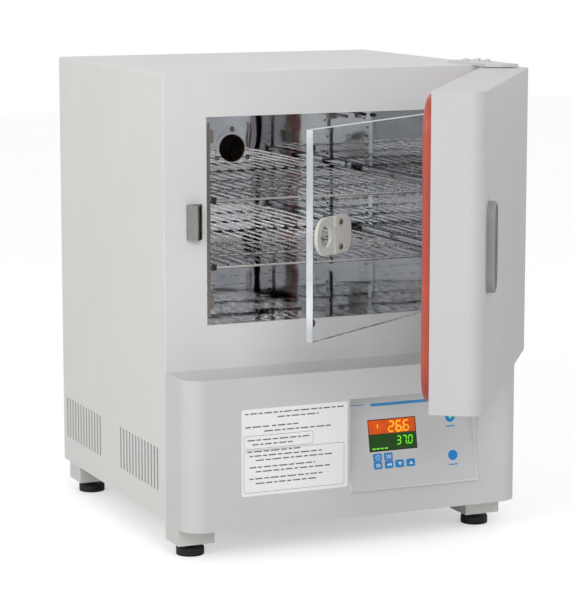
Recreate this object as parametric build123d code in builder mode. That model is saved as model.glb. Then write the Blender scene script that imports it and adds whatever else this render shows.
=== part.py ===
from build123d import *
from math import cos, radians, sin
import os

# A bench incubator: a sheet-metal cabinet with a polished chamber above and a control housing below,
# an insulated outer door, a clear inner door, two wire shelves and four levelling feet.
# Millimetres. The origin is the centre of the cabinet's footprint, on the surface that it stands on.
# X is to the right, Y to the back and Z up.

# Cabinet
cabinet_width = 500
cabinet_depth = 430
cabinet_top = 645
body_underside = 41
sheet = 1.5
bend_radius = 3
frame_return = 10

# Chamber
opening_width = 378
opening_sill = 306
opening_height = 280
chamber_depth = 370
liner_sheet = 1.2
plenum_height = 22
insulation_floor = 262
insulation_air_gap = 4

# Control housing
housing_depth = 78
housing_top = 246
housing_corner = 28
housing_wall = 2
housing_edge = 1
panel_left = -13.5
panel_sill = 76
panel_width = 196
panel_height = 127
panel_tilt = 11
panel_stand = 3
panel_thickness = 3
panel_ledge = 6
face_edge = 0.8
key_corner = 1
key_edge = 0.5

# Outer door, drawn closed
door_width = 493
door_sill = 251
door_top = 644
door_gap = 13.5
door_corner = 18
door_sheet = 1.5
hinge_x = 231
hinge_y = -39
outer_door_angle = 54.6

# Inner door, drawn closed
pane_thickness = 10
pane_setback = 1
pane_free_gap = 2.5
pane_hinge_gap = 2
pane_top_gap = 3
pane_sill_gap = 5
inner_hinge_inset = 7
inner_hinge_y = -2
inner_door_angle = 33.8

small_corner = 3

# Fits
pin_clearance = 0.05
cap_clearance = 0.3
seat_gap = 0.3

# Screws
small_screw = 2
small_head = 3.8
small_head_height = 2.4
small_shank = 6
long_shank = 12
large_screw = 2.5
large_head = 5
large_head_height = 3.4
large_shank = 9

front = -cabinet_depth / 2
half_width = cabinet_width / 2
half_opening = opening_width / 2
opening_top = opening_sill + opening_height
opening_middle = opening_sill + opening_height / 2
cabinet = Plane(origin=(0, front, 0))


def swung(x, y, angle):
    """The cabinet's frame turned about an upright axis, so that a door is drawn as if closed."""
    turn = Location((x, y, 0)) * Location((0, 0, 0), (0, 0, angle)) * Location((-x, -y, 0))
    return Plane(Location((0, front, 0)) * turn)


def upright(frame, depth):
    """A plane across a frame, facing the room: its X runs right and its Y up."""
    place = frame.from_local_coords((0, depth, 0))
    return Plane(origin=place, x_dir=frame.x_dir, z_dir=-frame.y_dir)


def rearward(frame, depth):
    """A plane across a frame, facing away from the room: its X runs left and its Y up."""
    place = frame.from_local_coords((0, depth, 0))
    return Plane(origin=place, x_dir=-frame.x_dir, z_dir=frame.y_dir)


def sideways(frame, offset):
    """A plane along a frame's depth, facing right: its X runs back and its Y up."""
    place = frame.from_local_coords((offset, 0, 0))
    return Plane(origin=place, x_dir=frame.y_dir, z_dir=frame.x_dir)


def spots(plane, places):
    """The places given on a plane, as locations whose Z is the plane's own."""
    return [plane.location * Location((across, up, 0)) for across, up in places]


def pan_head_screw(radius, head_radius, head_height, shank):
    """A screw with a domed head that stands on the plane, and a cross recess."""
    with BuildPart() as screw:
        with BuildSketch(Plane.XZ):
            with BuildLine():
                Polyline(
                    (head_radius * 0.5, head_height),
                    (0, head_height),
                    (0, -shank),
                    (radius, -shank),
                    (radius, 0),
                    (head_radius, 0),
                    (head_radius, head_height * 0.35),
                )
                ThreePointArc(
                    (head_radius, head_height * 0.35),
                    (head_radius * 0.82, head_height * 0.8),
                    (head_radius * 0.5, head_height),
                )
            make_face()
        revolve(axis=Axis.Z)
        with BuildSketch(Plane.XY.offset(head_height)):
            Rectangle(head_radius * 0.9, head_radius * 0.26)
            Rectangle(head_radius * 0.26, head_radius * 0.9)
        extrude(amount=-head_height * 0.5, mode=Mode.SUBTRACT)
    return screw.part


def flat_head_screw(radius, head_radius, shank):
    """A screw whose conical head lies flush with the plane, and a cross recess."""
    with BuildPart() as screw:
        with BuildSketch(Plane.XZ):
            with BuildLine():
                Polyline(
                    (0, 0),
                    (0, -shank),
                    (radius, -shank),
                    (radius, radius - head_radius),
                    (head_radius, 0),
                    close=True,
                )
            make_face()
        revolve(axis=Axis.Z)
        with BuildSketch(Plane.XY):
            Rectangle(head_radius, head_radius * 0.26)
            Rectangle(head_radius * 0.26, head_radius)
        extrude(amount=-(head_radius - radius) * 0.6, mode=Mode.SUBTRACT)
    return screw.part


outer_door = swung(hinge_x, hinge_y, outer_door_angle)
inner_hinge_x = half_opening - inner_hinge_inset
inner_door = swung(inner_hinge_x, inner_hinge_y, inner_door_angle)
small_pan_head = pan_head_screw(small_screw, small_head, small_head_height, small_shank)
long_pan_head = pan_head_screw(small_screw, small_head, small_head_height, long_shank)
large_pan_head = pan_head_screw(large_screw, large_head, large_head_height, large_shank)
large_flat_head = flat_head_screw(large_screw, large_head, large_shank)

# Hinge places. The upper plate lies on the cabinet and the lower one on the control housing.
plate_thickness = 4
ear_thickness = 2
plate_left = 208
plate_back = 72
plate_front = -57
plate_chamfer = 16
lower_plate_thickness = 3
lower_plate_back = -4
lower_plate_left = 196
pin_radius = 4
pin_length = 20
inner_pin_radius = 1.5
inner_pin_length = 14
bush_radius = 7
bush_length = 21
bush_flange = 9
upper_screw_places = [(224, 47), (239, 40), (241, 16)]
lower_screw_places = [(206, -14), (236, -14)]

# Catch, handle and latch places, on the closed door.
latch_z = 447
strike_left = -221.5
strike_right = -196
strike_height = 47
strike_sheet = 1.5
strike_nose = (-206.5, -14.5)
strike_lip = (-200.3, -8)
strike_screw_x = -204
strike_screw_spread = 30
strike_screw_places = [
    (strike_screw_x, latch_z - strike_screw_spread / 2),
    (strike_screw_x, latch_z + strike_screw_spread / 2),
]

# Port places, on the chamber's back wall.
port_z = 506
port_radius = 21
port_wall = 2.5
port_outer = port_radius + port_wall
port_screw_circle = 28.5
port_screw_places = [
    (port_screw_circle * cos(radians(angle)), port_z + port_screw_circle * sin(radians(angle)))
    for angle in (90, 210, 330)
]

# Heater and probe places.
heater_radius = 4
heater_z = opening_sill - plenum_height + heater_radius + seat_gap
heater_half_width = 130
probe_x = 165
probe_z = 552
probe_radius = 2.5

# Power inlet and rear screw places.
inlet_x = 150
inlet_z = 110
inlet_width = 28
inlet_height = 48
rear_screw_inset = 14
inside_width = cabinet_width - 2 * sheet
inside_top = cabinet_top - sheet
inside_height = inside_top - body_underside
inside_middle = body_underside + inside_height / 2
rear_screw_places = [
    (
        side * (inside_width / 2 - rear_screw_inset),
        inside_middle + step * (inside_height / 2 - rear_screw_inset),
    )
    for side in (-1, 1)
    for step in (-1, 0, 1)
]

# Foot places: the right-hand brackets stand further in than the left-hand ones.
left_foot_x = -224
right_foot_x = 208.5
front_foot_y = -21
rear_foot_y = 381
foot_places = [
    (left_foot_x, front_foot_y),
    (right_foot_x, front_foot_y),
    (left_foot_x, rear_foot_y),
    (right_foot_x, rear_foot_y),
]

# Outer wrap: the top and both sides in one folded sheet, with two groups of vents low on each side.
vent_pitch = 12.2
vent_count = 13
vent_width = 5
vent_height = 61
vent_middle = 107.5
front_vents_y = 105.4
rear_vents_y = 339.4
wrap_height = cabinet_top - body_underside

with BuildPart() as cabinet_wrap:
    with BuildSketch(upright(cabinet, sheet)):
        with Locations((0, body_underside + wrap_height / 2)):
            Rectangle(cabinet_width, wrap_height)
    extrude(amount=-(cabinet_depth - sheet))
    fillet(cabinet_wrap.edges().filter_by(Axis.Y).group_by(Axis.Z)[-1], bend_radius)
    with BuildSketch(upright(cabinet, sheet)):
        with Locations((0, inside_middle)):
            Rectangle(inside_width, inside_height)
    extrude(amount=-(cabinet_depth - sheet), mode=Mode.SUBTRACT)
    with BuildSketch(sideways(cabinet, -half_width)):
        for vents_y in (front_vents_y, rear_vents_y):
            with Locations((vents_y, vent_middle)):
                with GridLocations(vent_pitch, 1, vent_count, 1):
                    SlotOverall(vent_height, vent_width, rotation=90)
    extrude(amount=cabinet_width, mode=Mode.SUBTRACT)
    with Locations(*spots(cabinet.offset(cabinet_top), upper_screw_places)):
        Hole(large_screw, depth=sheet)

# Front frame: carries the chamber opening, with its edges returned inside the wrap.
with BuildPart() as front_frame:
    with BuildSketch(upright(cabinet, 0)):
        with Locations((0, body_underside + wrap_height / 2)):
            Rectangle(cabinet_width, wrap_height)
    extrude(amount=-sheet)
    fillet(front_frame.faces().sort_by(Axis.Y)[0].edges().filter_by(Axis.Z), sheet * 0.7)
    with BuildSketch(upright(cabinet, sheet)):
        with Locations((0, inside_middle)):
            Rectangle(inside_width, inside_height)
            Rectangle(inside_width - 2 * sheet, inside_height - 2 * sheet, mode=Mode.SUBTRACT)
    extrude(amount=-(frame_return - sheet))
    with BuildSketch(upright(cabinet, 0)):
        with Locations((0, opening_middle)):
            Rectangle(opening_width, opening_height)
    extrude(amount=-sheet, mode=Mode.SUBTRACT)
    with Locations(*spots(upright(cabinet, 0), strike_screw_places)):
        Hole(small_screw, depth=sheet)

# Rear panel
with BuildPart() as rear_panel:
    with BuildSketch(upright(cabinet, cabinet_depth - sheet)):
        with Locations((0, inside_middle)):
            Rectangle(inside_width, inside_height)
        with Locations((0, port_z)):
            Circle(port_outer, mode=Mode.SUBTRACT)
        with Locations((inlet_x, inlet_z)):
            Rectangle(inlet_width, inlet_height, mode=Mode.SUBTRACT)
        with Locations(*rear_screw_places):
            Circle(small_screw, mode=Mode.SUBTRACT)
    extrude(amount=-sheet)

# Base pan
pan_depth = cabinet_depth - sheet - frame_return
pan_middle = frame_return + pan_depth / 2

with BuildPart() as base_pan:
    with BuildSketch(cabinet.offset(body_underside)):
        with Locations((0, pan_middle)):
            Rectangle(inside_width, pan_depth)
    extrude(amount=sheet)
    with BuildSketch(cabinet.offset(body_underside)):
        with Locations((0, pan_middle)):
            with GridLocations(vent_pitch, 1, vent_count, 1):
                SlotOverall(vent_height, vent_width, rotation=90)
    extrude(amount=sheet, mode=Mode.SUBTRACT)

# Foot brackets: folded channels that the base closes, open at the back.
bracket_width = 52
bracket_depth = 48
bracket_base = 17.5
bracket_sheet = 2
bracket_height = body_underside - bracket_base
stud_radius = 4

with BuildPart() as foot_brackets:
    with BuildSketch(cabinet.offset(bracket_base)):
        with Locations(*foot_places):
            Rectangle(bracket_width, bracket_depth)
    extrude(amount=bracket_height)
    with BuildSketch(cabinet.offset(bracket_base + bracket_sheet)):
        with Locations(*[(x, y + bracket_sheet) for x, y in foot_places]):
            Rectangle(bracket_width - 2 * bracket_sheet, bracket_depth)
    extrude(amount=bracket_height - bracket_sheet, mode=Mode.SUBTRACT)
    with BuildSketch(cabinet.offset(bracket_base)):
        with Locations(*foot_places):
            Circle(stud_radius + pin_clearance)
    extrude(amount=bracket_sheet, mode=Mode.SUBTRACT)

# Levelling feet: a rubber-faced disc, its stud and a lock nut.
foot_radius = 19
foot_height = 12
foot_bevel = 2
foot_edge = 1
nut_flats = 13
nut_height = 4.5
stud_length = 35

levelling_feet = []
for foot_place in foot_places:
    with BuildPart() as levelling_foot:
        with BuildSketch(cabinet):
            with Locations(foot_place):
                Circle(foot_radius)
        extrude(amount=foot_height)
        chamfer(levelling_foot.edges().group_by(Axis.Z)[-1], foot_bevel)
        fillet(levelling_foot.edges().group_by(Axis.Z)[0], foot_edge)
        with BuildSketch(cabinet):
            with Locations(foot_place):
                Circle(stud_radius)
        extrude(amount=stud_length)
        with BuildSketch(cabinet.offset(bracket_base - seat_gap - nut_height)):
            with Locations(foot_place):
                RegularPolygon(nut_flats / 2, 6, major_radius=False)
        extrude(amount=nut_height)
    levelling_feet.append(levelling_foot)

# Control housing: a shell in front of the lower compartment, with a raked recess for the panel.
rake = radians(panel_tilt)
panel_corner = cabinet.from_local_coords((panel_left, -housing_depth - panel_stand, panel_sill))
panel = Plane(origin=panel_corner, x_dir=(1, 0, 0), z_dir=(0, -cos(rake), sin(rake)))
panel_middle = (panel_width / 2, panel_height / 2)

with BuildPart() as recess_core:
    with BuildSketch(panel.offset(-panel_thickness - housing_wall)):
        with Locations(panel_middle):
            Rectangle(panel_width + 2 * housing_wall, panel_height + 2 * housing_wall)
    extrude(amount=housing_depth)

with BuildPart() as housing_hollow:
    with BuildSketch(cabinet.offset(body_underside + housing_wall)) as hollow_plan:
        with Locations((0, -(housing_depth - housing_wall) / 2)):
            Rectangle(cabinet_width - 2 * housing_wall, housing_depth - housing_wall)
        fillet(hollow_plan.vertices().group_by(Axis.Y)[0], housing_corner - housing_wall)
    extrude(amount=housing_top - body_underside - 2 * housing_wall)
    add(recess_core.part, mode=Mode.SUBTRACT)

with BuildPart() as control_housing:
    with BuildSketch(cabinet.offset(body_underside)) as housing_plan:
        with Locations((0, -housing_depth / 2)):
            Rectangle(cabinet_width, housing_depth)
        fillet(housing_plan.vertices().group_by(Axis.Y)[0], housing_corner)
    extrude(amount=housing_top - body_underside)
    fillet(control_housing.faces().sort_by(Axis.Z)[-1].edges().group_by(Axis.Y)[0], housing_edge)
    add(housing_hollow.part, mode=Mode.SUBTRACT)
    with BuildSketch(panel.offset(-panel_thickness)):
        with Locations(panel_middle):
            Rectangle(panel_width, panel_height)
    extrude(amount=housing_depth, mode=Mode.SUBTRACT)
    with BuildSketch(panel):
        with Locations(panel_middle):
            Rectangle(panel_width - 2 * panel_ledge, panel_height - 2 * panel_ledge)
    extrude(amount=-2 * (panel_thickness + housing_wall), mode=Mode.SUBTRACT)
    with Locations(*spots(cabinet.offset(housing_top), lower_screw_places)):
        Hole(large_screw, depth=housing_wall)

# Hinge plates, their pins and their screws
with BuildPart() as hinge_plates:
    with BuildSketch(cabinet.offset(cabinet_top)):
        with BuildLine():
            Polyline(
                (plate_left, plate_back),
                (half_width, plate_back),
                (half_width, plate_front),
                (plate_left + plate_chamfer, plate_front),
                (plate_left, plate_front + plate_chamfer),
                close=True,
            )
        make_face()
    extrude(amount=plate_thickness)
    with BuildSketch(cabinet.offset(housing_top)):
        with BuildLine():
            Polyline(
                (lower_plate_left, lower_plate_back),
                (half_width - bend_radius, lower_plate_back),
                (half_width - bend_radius, plate_front),
                (plate_left + plate_chamfer, plate_front),
                (lower_plate_left, lower_plate_back - plate_chamfer),
                close=True,
            )
        make_face()
    extrude(amount=lower_plate_thickness)
    with Locations(*spots(cabinet.offset(cabinet_top), [(hinge_x, hinge_y)])):
        Hole(pin_radius)
    with Locations(*spots(cabinet.offset(cabinet_top + plate_thickness), upper_screw_places)):
        Hole(large_screw, depth=plate_thickness)
    with Locations(*spots(cabinet.offset(housing_top + lower_plate_thickness), lower_screw_places)):
        CounterSinkHole(large_screw, large_head, depth=lower_plate_thickness, counter_sink_angle=90)

with BuildPart() as hinge_pins:
    with BuildSketch(cabinet.offset(cabinet_top + plate_thickness)):
        with Locations((hinge_x, hinge_y)):
            Circle(pin_radius)
    extrude(amount=-(plate_thickness + pin_length))
    with BuildSketch(cabinet.offset(housing_top)):
        with Locations((hinge_x, hinge_y)):
            Circle(pin_radius)
    extrude(amount=lower_plate_thickness + pin_length)
    for level, rise in ((opening_top, 1), (opening_sill, -1)):
        with BuildSketch(cabinet.offset(level + rise * ear_thickness)):
            with Locations((inner_hinge_x, inner_hinge_y)):
                Circle(inner_pin_radius)
        extrude(amount=-rise * (ear_thickness + inner_pin_length))

with BuildPart() as hinge_screws:
    with Locations(*spots(cabinet.offset(cabinet_top + plate_thickness), upper_screw_places)):
        add(large_pan_head)
    with Locations(*spots(cabinet.offset(housing_top + lower_plate_thickness), lower_screw_places)):
        add(large_flat_head)

# Strike: a strip bent into a ramp, a nose and a lip that the latch hooks behind.
with BuildPart() as strike:
    with BuildSketch(cabinet.offset(latch_z - strike_height / 2)):
        with BuildLine():
            FilletPolyline(
                (strike_right, -strike_sheet / 2),
                (strike_left + strike_sheet / 2, -strike_sheet / 2),
                strike_nose,
                strike_lip,
                radius=2,
            )
        trace(line_width=strike_sheet)
    extrude(amount=strike_height)
    with Locations(*spots(upright(cabinet, -strike_sheet), strike_screw_places)):
        Hole(small_screw, depth=strike_sheet)

# Chamber liner: a polished box, open to the front, whose floor lies below the sill.
liner_floor = opening_sill - plenum_height
liner_height = opening_top - liner_floor
liner_middle = liner_floor + liner_height / 2

with BuildPart() as chamber_liner:
    with BuildSketch(upright(cabinet, sheet)):
        with Locations((0, liner_middle)):
            Rectangle(opening_width + 2 * liner_sheet, liner_height + 2 * liner_sheet)
    extrude(amount=-(chamber_depth + liner_sheet - sheet))
    with BuildSketch(upright(cabinet, sheet)):
        with Locations((0, liner_middle)):
            Rectangle(opening_width, liner_height)
    extrude(amount=-(chamber_depth - sheet), mode=Mode.SUBTRACT)
    with BuildSketch(upright(cabinet, chamber_depth)):
        with Locations((0, port_z)):
            Circle(port_outer)
        with Locations(*port_screw_places):
            Circle(small_screw)
        with Locations((-heater_half_width, heater_z), (heater_half_width, heater_z)):
            Circle(heater_radius)
        with Locations((probe_x, probe_z)):
            Circle(probe_radius)
    extrude(amount=-liner_sheet, mode=Mode.SUBTRACT)

# Insulation round the liner, with room for what passes through it.
heater_tail = 12
insulation_width = inside_width - 2 * insulation_air_gap
insulation_top = inside_top - insulation_air_gap
insulation_height = insulation_top - insulation_floor
insulation_back = cabinet_depth - sheet

with BuildPart() as chamber_insulation:
    with BuildSketch(upright(cabinet, sheet)):
        with Locations((0, insulation_floor + insulation_height / 2)):
            Rectangle(insulation_width, insulation_height)
    extrude(amount=-(insulation_back - sheet))
    with BuildSketch(upright(cabinet, sheet)):
        with Locations((0, liner_middle)):
            Rectangle(opening_width + 2 * liner_sheet, liner_height + 2 * liner_sheet)
    extrude(amount=-(chamber_depth + liner_sheet - sheet), mode=Mode.SUBTRACT)
    with BuildSketch(upright(cabinet, chamber_depth)):
        with Locations((0, port_z)):
            Circle(port_outer)
    extrude(amount=-(cabinet_depth - chamber_depth), mode=Mode.SUBTRACT)
    with BuildSketch(upright(cabinet, chamber_depth + liner_sheet)):
        with Locations(*port_screw_places):
            Circle(small_screw)
        with Locations((-heater_half_width, heater_z), (heater_half_width, heater_z)):
            Circle(heater_radius)
        with Locations((probe_x, probe_z)):
            Circle(probe_radius)
    extrude(amount=-heater_tail, mode=Mode.SUBTRACT)
    with Locations(*spots(upright(cabinet, sheet), strike_screw_places)):
        Hole(small_screw, depth=small_shank)
    with Locations(*spots(rearward(cabinet, insulation_back), rear_screw_places)):
        Hole(small_screw, depth=small_shank)

# Floor plate: an upturned tray over the heater, screwed down along its front.
floor_sheet = 1
floor_gap = 0.3
floor_front = sheet + floor_gap
floor_depth = chamber_depth - floor_gap - floor_front
floor_width = opening_width - 2 * floor_gap
floor_screw_pitch = 139
floor_screw_y = 12
floor_slot_y = 330
floor_slot_pitch = 24
floor_screw_places = [(step * floor_screw_pitch, floor_screw_y) for step in (-1, 0, 1)]

with BuildPart() as floor_plate:
    with BuildSketch(cabinet.offset(liner_floor)):
        with Locations((0, floor_front + floor_depth / 2)):
            Rectangle(floor_width, floor_depth)
    extrude(amount=plenum_height)
    with BuildSketch(cabinet.offset(liner_floor)):
        with Locations((0, floor_front + floor_depth / 2 + floor_sheet)):
            Rectangle(floor_width - 2 * floor_sheet, floor_depth)
    extrude(amount=plenum_height - floor_sheet, mode=Mode.SUBTRACT)
    with BuildSketch(cabinet.offset(opening_sill)):
        with Locations(*floor_screw_places):
            Circle(small_screw)
        with Locations((0, floor_slot_y)):
            with GridLocations(floor_slot_pitch, 1, vent_count, 1):
                SlotOverall(floor_slot_pitch / 2, vent_width)
    extrude(amount=-floor_sheet, mode=Mode.SUBTRACT)

# Heater: a tubular element bent into a hairpin with two folds, its tails through the back wall.
heater_front = 60
heater_inner = 45
heater_turn = 18

with BuildPart() as heater_element:
    with BuildLine(cabinet.offset(heater_z)):
        FilletPolyline(
            (-heater_half_width, chamber_depth + heater_tail),
            (-heater_half_width, heater_front),
            (-heater_inner, heater_front),
            (-heater_inner, chamber_depth - heater_front),
            (heater_inner, chamber_depth - heater_front),
            (heater_inner, heater_front),
            (heater_half_width, heater_front),
            (heater_half_width, chamber_depth + heater_tail),
            radius=heater_turn,
        )
    with BuildSketch(rearward(cabinet, chamber_depth + heater_tail)):
        with Locations((heater_half_width, heater_z)):
            Circle(heater_radius)
    sweep()

# Temperature probe on the back wall
probe_length = 55
probe_base = 14
probe_base_depth = 5

with BuildPart() as temperature_probe:
    with BuildSketch(upright(cabinet, chamber_depth + liner_sheet + heater_tail)):
        with Locations((probe_x, probe_z)):
            Circle(probe_radius)
    extrude(amount=probe_length + liner_sheet + heater_tail)
    fillet(temperature_probe.faces().sort_by(Axis.Y)[0].edges(), probe_radius * 0.8)
    with BuildSketch(upright(cabinet, chamber_depth)):
        with Locations((probe_x, probe_z)):
            Rectangle(probe_base, probe_base)
    extrude(amount=probe_base_depth)

# Port: a tube through the back wall, with an eared flange in the chamber and a stopper behind.
port_flange = 1.2
port_ear = 7
port_stand = 6
port_depth = 46
stopper_radius = 22.3
stopper_rim = 27
stopper_rim_depth = 8

with BuildPart() as port_tube:
    with BuildSketch(upright(cabinet, chamber_depth)):
        with Locations((0, port_z)):
            Circle(port_screw_circle - small_screw)
        with Locations(*port_screw_places):
            Circle(port_ear)
            Circle(small_screw, mode=Mode.SUBTRACT)
        with Locations((0, port_z)):
            Circle(port_radius, mode=Mode.SUBTRACT)
    extrude(amount=port_flange)
    with BuildSketch(upright(cabinet, chamber_depth)):
        with Locations((0, port_z)):
            Circle(port_outer)
            Circle(port_radius, mode=Mode.SUBTRACT)
    extrude(amount=-(cabinet_depth + port_stand - chamber_depth))
    with BuildSketch(upright(cabinet, chamber_depth + port_depth)):
        with Locations((0, port_z)):
            Circle(stopper_radius)
    extrude(amount=-(cabinet_depth + port_stand - chamber_depth - port_depth), mode=Mode.SUBTRACT)

with BuildPart() as port_stopper:
    with BuildSketch(upright(cabinet, chamber_depth + port_depth)):
        with Locations((0, port_z)):
            Circle(stopper_radius)
    extrude(amount=-(cabinet_depth + port_stand - chamber_depth - port_depth))
    with BuildSketch(upright(cabinet, cabinet_depth + port_stand)):
        with Locations((0, port_z)):
            Circle(stopper_rim)
    extrude(amount=-stopper_rim_depth)
    fillet(port_stopper.faces().sort_by(Axis.Y)[-1].edges(), stopper_rim_depth / 3)

# Small screws of the strike, the port, the floor plate and the rear panel
with BuildPart() as small_screws:
    with Locations(*spots(upright(cabinet, -strike_sheet), strike_screw_places)):
        add(small_pan_head)
    with Locations(*spots(upright(cabinet, chamber_depth - port_flange), port_screw_places)):
        add(small_pan_head)
    with Locations(*spots(cabinet.offset(opening_sill), floor_screw_places)):
        add(small_pan_head)
    with Locations(*spots(rearward(cabinet, cabinet_depth), rear_screw_places)):
        add(small_pan_head)

# Shelf uprights: slotted channels on the chamber's side walls.
upright_width = 16
upright_depth = 3
upright_sheet = 1
upright_gap = 6
upright_places = (80, 300)
slot_pitch = 13
slot_count = 19
slot_width = 8
slot_height = 3
upright_height = opening_height - 2 * upright_gap
upright_face = half_opening - upright_depth

with BuildPart() as shelf_uprights:
    for side in (-1, 1):
        with BuildSketch(cabinet.offset(opening_sill + upright_gap)):
            with Locations(*[(side * (half_opening - upright_depth / 2), y) for y in upright_places]):
                Rectangle(upright_depth, upright_width)
        extrude(amount=upright_height)
        with BuildSketch(cabinet.offset(opening_sill + upright_gap)):
            upright_middle = side * (upright_face + upright_sheet + upright_depth / 2)
            with Locations(*[(upright_middle, y) for y in upright_places]):
                Rectangle(upright_depth, upright_width - 2 * upright_sheet)
        extrude(amount=upright_height, mode=Mode.SUBTRACT)
        with BuildSketch(sideways(cabinet, side * upright_face)):
            with Locations(*[(y, opening_middle) for y in upright_places]):
                with GridLocations(1, slot_pitch, 1, slot_count):
                    Rectangle(slot_width, slot_height)
        extrude(amount=side * upright_sheet, mode=Mode.SUBTRACT)

# Shelf places, and the angle rails that carry the shelves on both sides.
shelf_levels = {"upper_shelf": 470, "lower_shelf": 379}
shelf_half_width = 169
shelf_front = 30
shelf_back = 360
shelf_rod = 2
shelf_wire = 1.25
shelf_weld = 0.5
shelf_wire_pitch = 18
shelf_wire_count = 19
shelf_overhang = 2.5
cross_rod_places = (shelf_front, 140, 250, shelf_back)
cap_radius = 3.5
cap_length = 7
cap_end = 2
rail_front = 42
rail_back = 366
rail_ledge = 22
rail_guard = 10
rail_sheet = 1.2

with BuildPart() as shelf_rails:
    for level in shelf_levels.values():
        ledge_top = level - shelf_rod - seat_gap
        for side in (-1, 1):
            with BuildSketch(upright(cabinet, rail_front)):
                with Locations((side * (upright_face - rail_ledge / 2), ledge_top - rail_sheet / 2)):
                    Rectangle(rail_ledge, rail_sheet)
                with Locations((side * (upright_face - rail_sheet / 2), ledge_top + rail_guard / 2)):
                    Rectangle(rail_sheet, rail_guard)
            extrude(amount=-(rail_back - rail_front))

# Wire shelves: cross rods with the long wires welded on top, and end caps on the front rod.
shelves = {}
for shelf_name, level in shelf_levels.items():
    with BuildPart() as shelf:
        with BuildSketch(sideways(cabinet, -shelf_half_width)):
            with Locations(*[(y, level) for y in cross_rod_places]):
                Circle(shelf_rod)
        extrude(amount=2 * shelf_half_width)
        with BuildSketch(upright(cabinet, shelf_front - shelf_overhang)):
            with Locations((0, level + shelf_rod + shelf_wire - shelf_weld)):
                with GridLocations(shelf_wire_pitch, 1, shelf_wire_count, 1):
                    Circle(shelf_wire)
        extrude(amount=-(shelf_back - shelf_front + 2 * shelf_overhang))
        for side in (-1, 1):
            with BuildSketch(sideways(cabinet, side * (shelf_half_width + cap_end))):
                with Locations((shelf_front, level)):
                    Circle(cap_radius)
            extrude(amount=-side * cap_length)
    shelves[shelf_name] = shelf

# Magnet places on the inner door, and the keeper strip that it closes against.
pane_left = -half_opening + pane_free_gap
pane_right = half_opening - pane_hinge_gap
pane_bottom = opening_sill + pane_sill_gap
pane_top = opening_top - pane_top_gap
pane_back = pane_setback + pane_thickness
magnet_radius = 5
magnet_depth = 4
magnet_inset = 6
magnet_heights = (pane_bottom + 24, pane_top - 24)
keeper_gap = 0.6
keeper_width = 10
keeper_depth = 12
keeper_sheet = 1.2
keeper_inset = 9
tab_width = 15
tab_height = 18
keeper_front = pane_back + keeper_gap
keeper_height = opening_height - 2 * keeper_inset

with BuildPart() as keeper_strip:
    with BuildSketch(cabinet.offset(opening_sill + keeper_inset)):
        with Locations((-half_opening + keeper_width / 2, keeper_front + keeper_sheet / 2)):
            Rectangle(keeper_width, keeper_sheet)
        with Locations((-half_opening + keeper_sheet / 2, keeper_front + keeper_depth / 2)):
            Rectangle(keeper_sheet, keeper_depth)
    extrude(amount=keeper_height)
    with BuildSketch(upright(cabinet, keeper_front)):
        with Locations(*[(-half_opening + tab_width / 2, z) for z in magnet_heights]):
            Rectangle(tab_width, tab_height)
    extrude(amount=-keeper_sheet)

# Inner door hinge: ears welded to the front frame, with a pin in each.
ear_left = 174
ear_width = 16
ear_depth = 7
ear_flange = 14
ear_sheet = 1.5
ear_middle = ear_left + ear_width / 2

with BuildPart() as inner_hinge_ears:
    for level, rise in ((opening_top, 1), (opening_sill, -1)):
        with BuildSketch(cabinet.offset(level)):
            with Locations((ear_middle, -ear_depth / 2)):
                Rectangle(ear_width, ear_depth)
            with Locations((inner_hinge_x, inner_hinge_y)):
                Circle(inner_pin_radius, mode=Mode.SUBTRACT)
        extrude(amount=rise * ear_thickness)
        with BuildSketch(upright(cabinet, 0)):
            with Locations((ear_middle, level + rise * ear_flange / 2)):
                Rectangle(ear_width, ear_flange)
        extrude(amount=ear_sheet)
        with BuildSketch(cabinet.offset(level)):
            with Locations((inner_hinge_x, inner_hinge_y)):
                Circle(inner_pin_radius)
        extrude(amount=rise * ear_thickness, mode=Mode.SUBTRACT)

# Control panel: display window, six small keys and two round buttons, on four bosses for the board.
display_places = (69.8, 74.4)
display_width = 73
display_height = 44
display_margin = 1.5
display_recess = 0.8
key_width = 12
key_height = 9.5
key_gap = 0.3
key_proud = 1.2
key_lip = 1.3
key_lip_thickness = 0.8
key_travel = 0.6
button_radius = 7
button_proud = 1.5
boss_radius = 3
board_gap = 3.4
board_thickness = 1.6
board_width = 176
board_height = 106
switch_size = 6
key_places = {
    "mode_key": (44.3, 33.6),
    "back_key": (61, 33.6),
    "down_key": (77.2, 33.6),
    "up_key": (94.1, 33.6),
    "clock_key": (44.5, 44.5),
    "enter_key": (61, 44.5),
}
button_places = {"power_button": (159.3, 91), "lamp_button": (159.3, 38)}
boss_inset = 14
boss_places = [
    (across, up)
    for across in (boss_inset, panel_width - boss_inset)
    for up in (boss_inset, panel_height - boss_inset)
]
all_switch_places = list(key_places.values()) + list(button_places.values())

with BuildPart() as control_panel:
    with BuildSketch(panel):
        with Locations(panel_middle):
            Rectangle(panel_width, panel_height)
    extrude(amount=-panel_thickness)
    chamfer(control_panel.faces().sort_by(Axis((0, 0, 0), panel.z_dir))[-1].edges(), face_edge)
    with BuildSketch(panel):
        with Locations(display_places):
            Rectangle(display_width, display_height)
        with Locations(*key_places.values()):
            RectangleRounded(key_width + 2 * key_gap, key_height + 2 * key_gap, 1 + key_gap)
        with Locations(*button_places.values()):
            Circle(button_radius + key_gap)
    extrude(amount=-panel_thickness, mode=Mode.SUBTRACT)
    with BuildSketch(panel.offset(-panel_thickness)):
        with Locations(*boss_places):
            Circle(boss_radius)
    extrude(amount=-board_gap)

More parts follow.
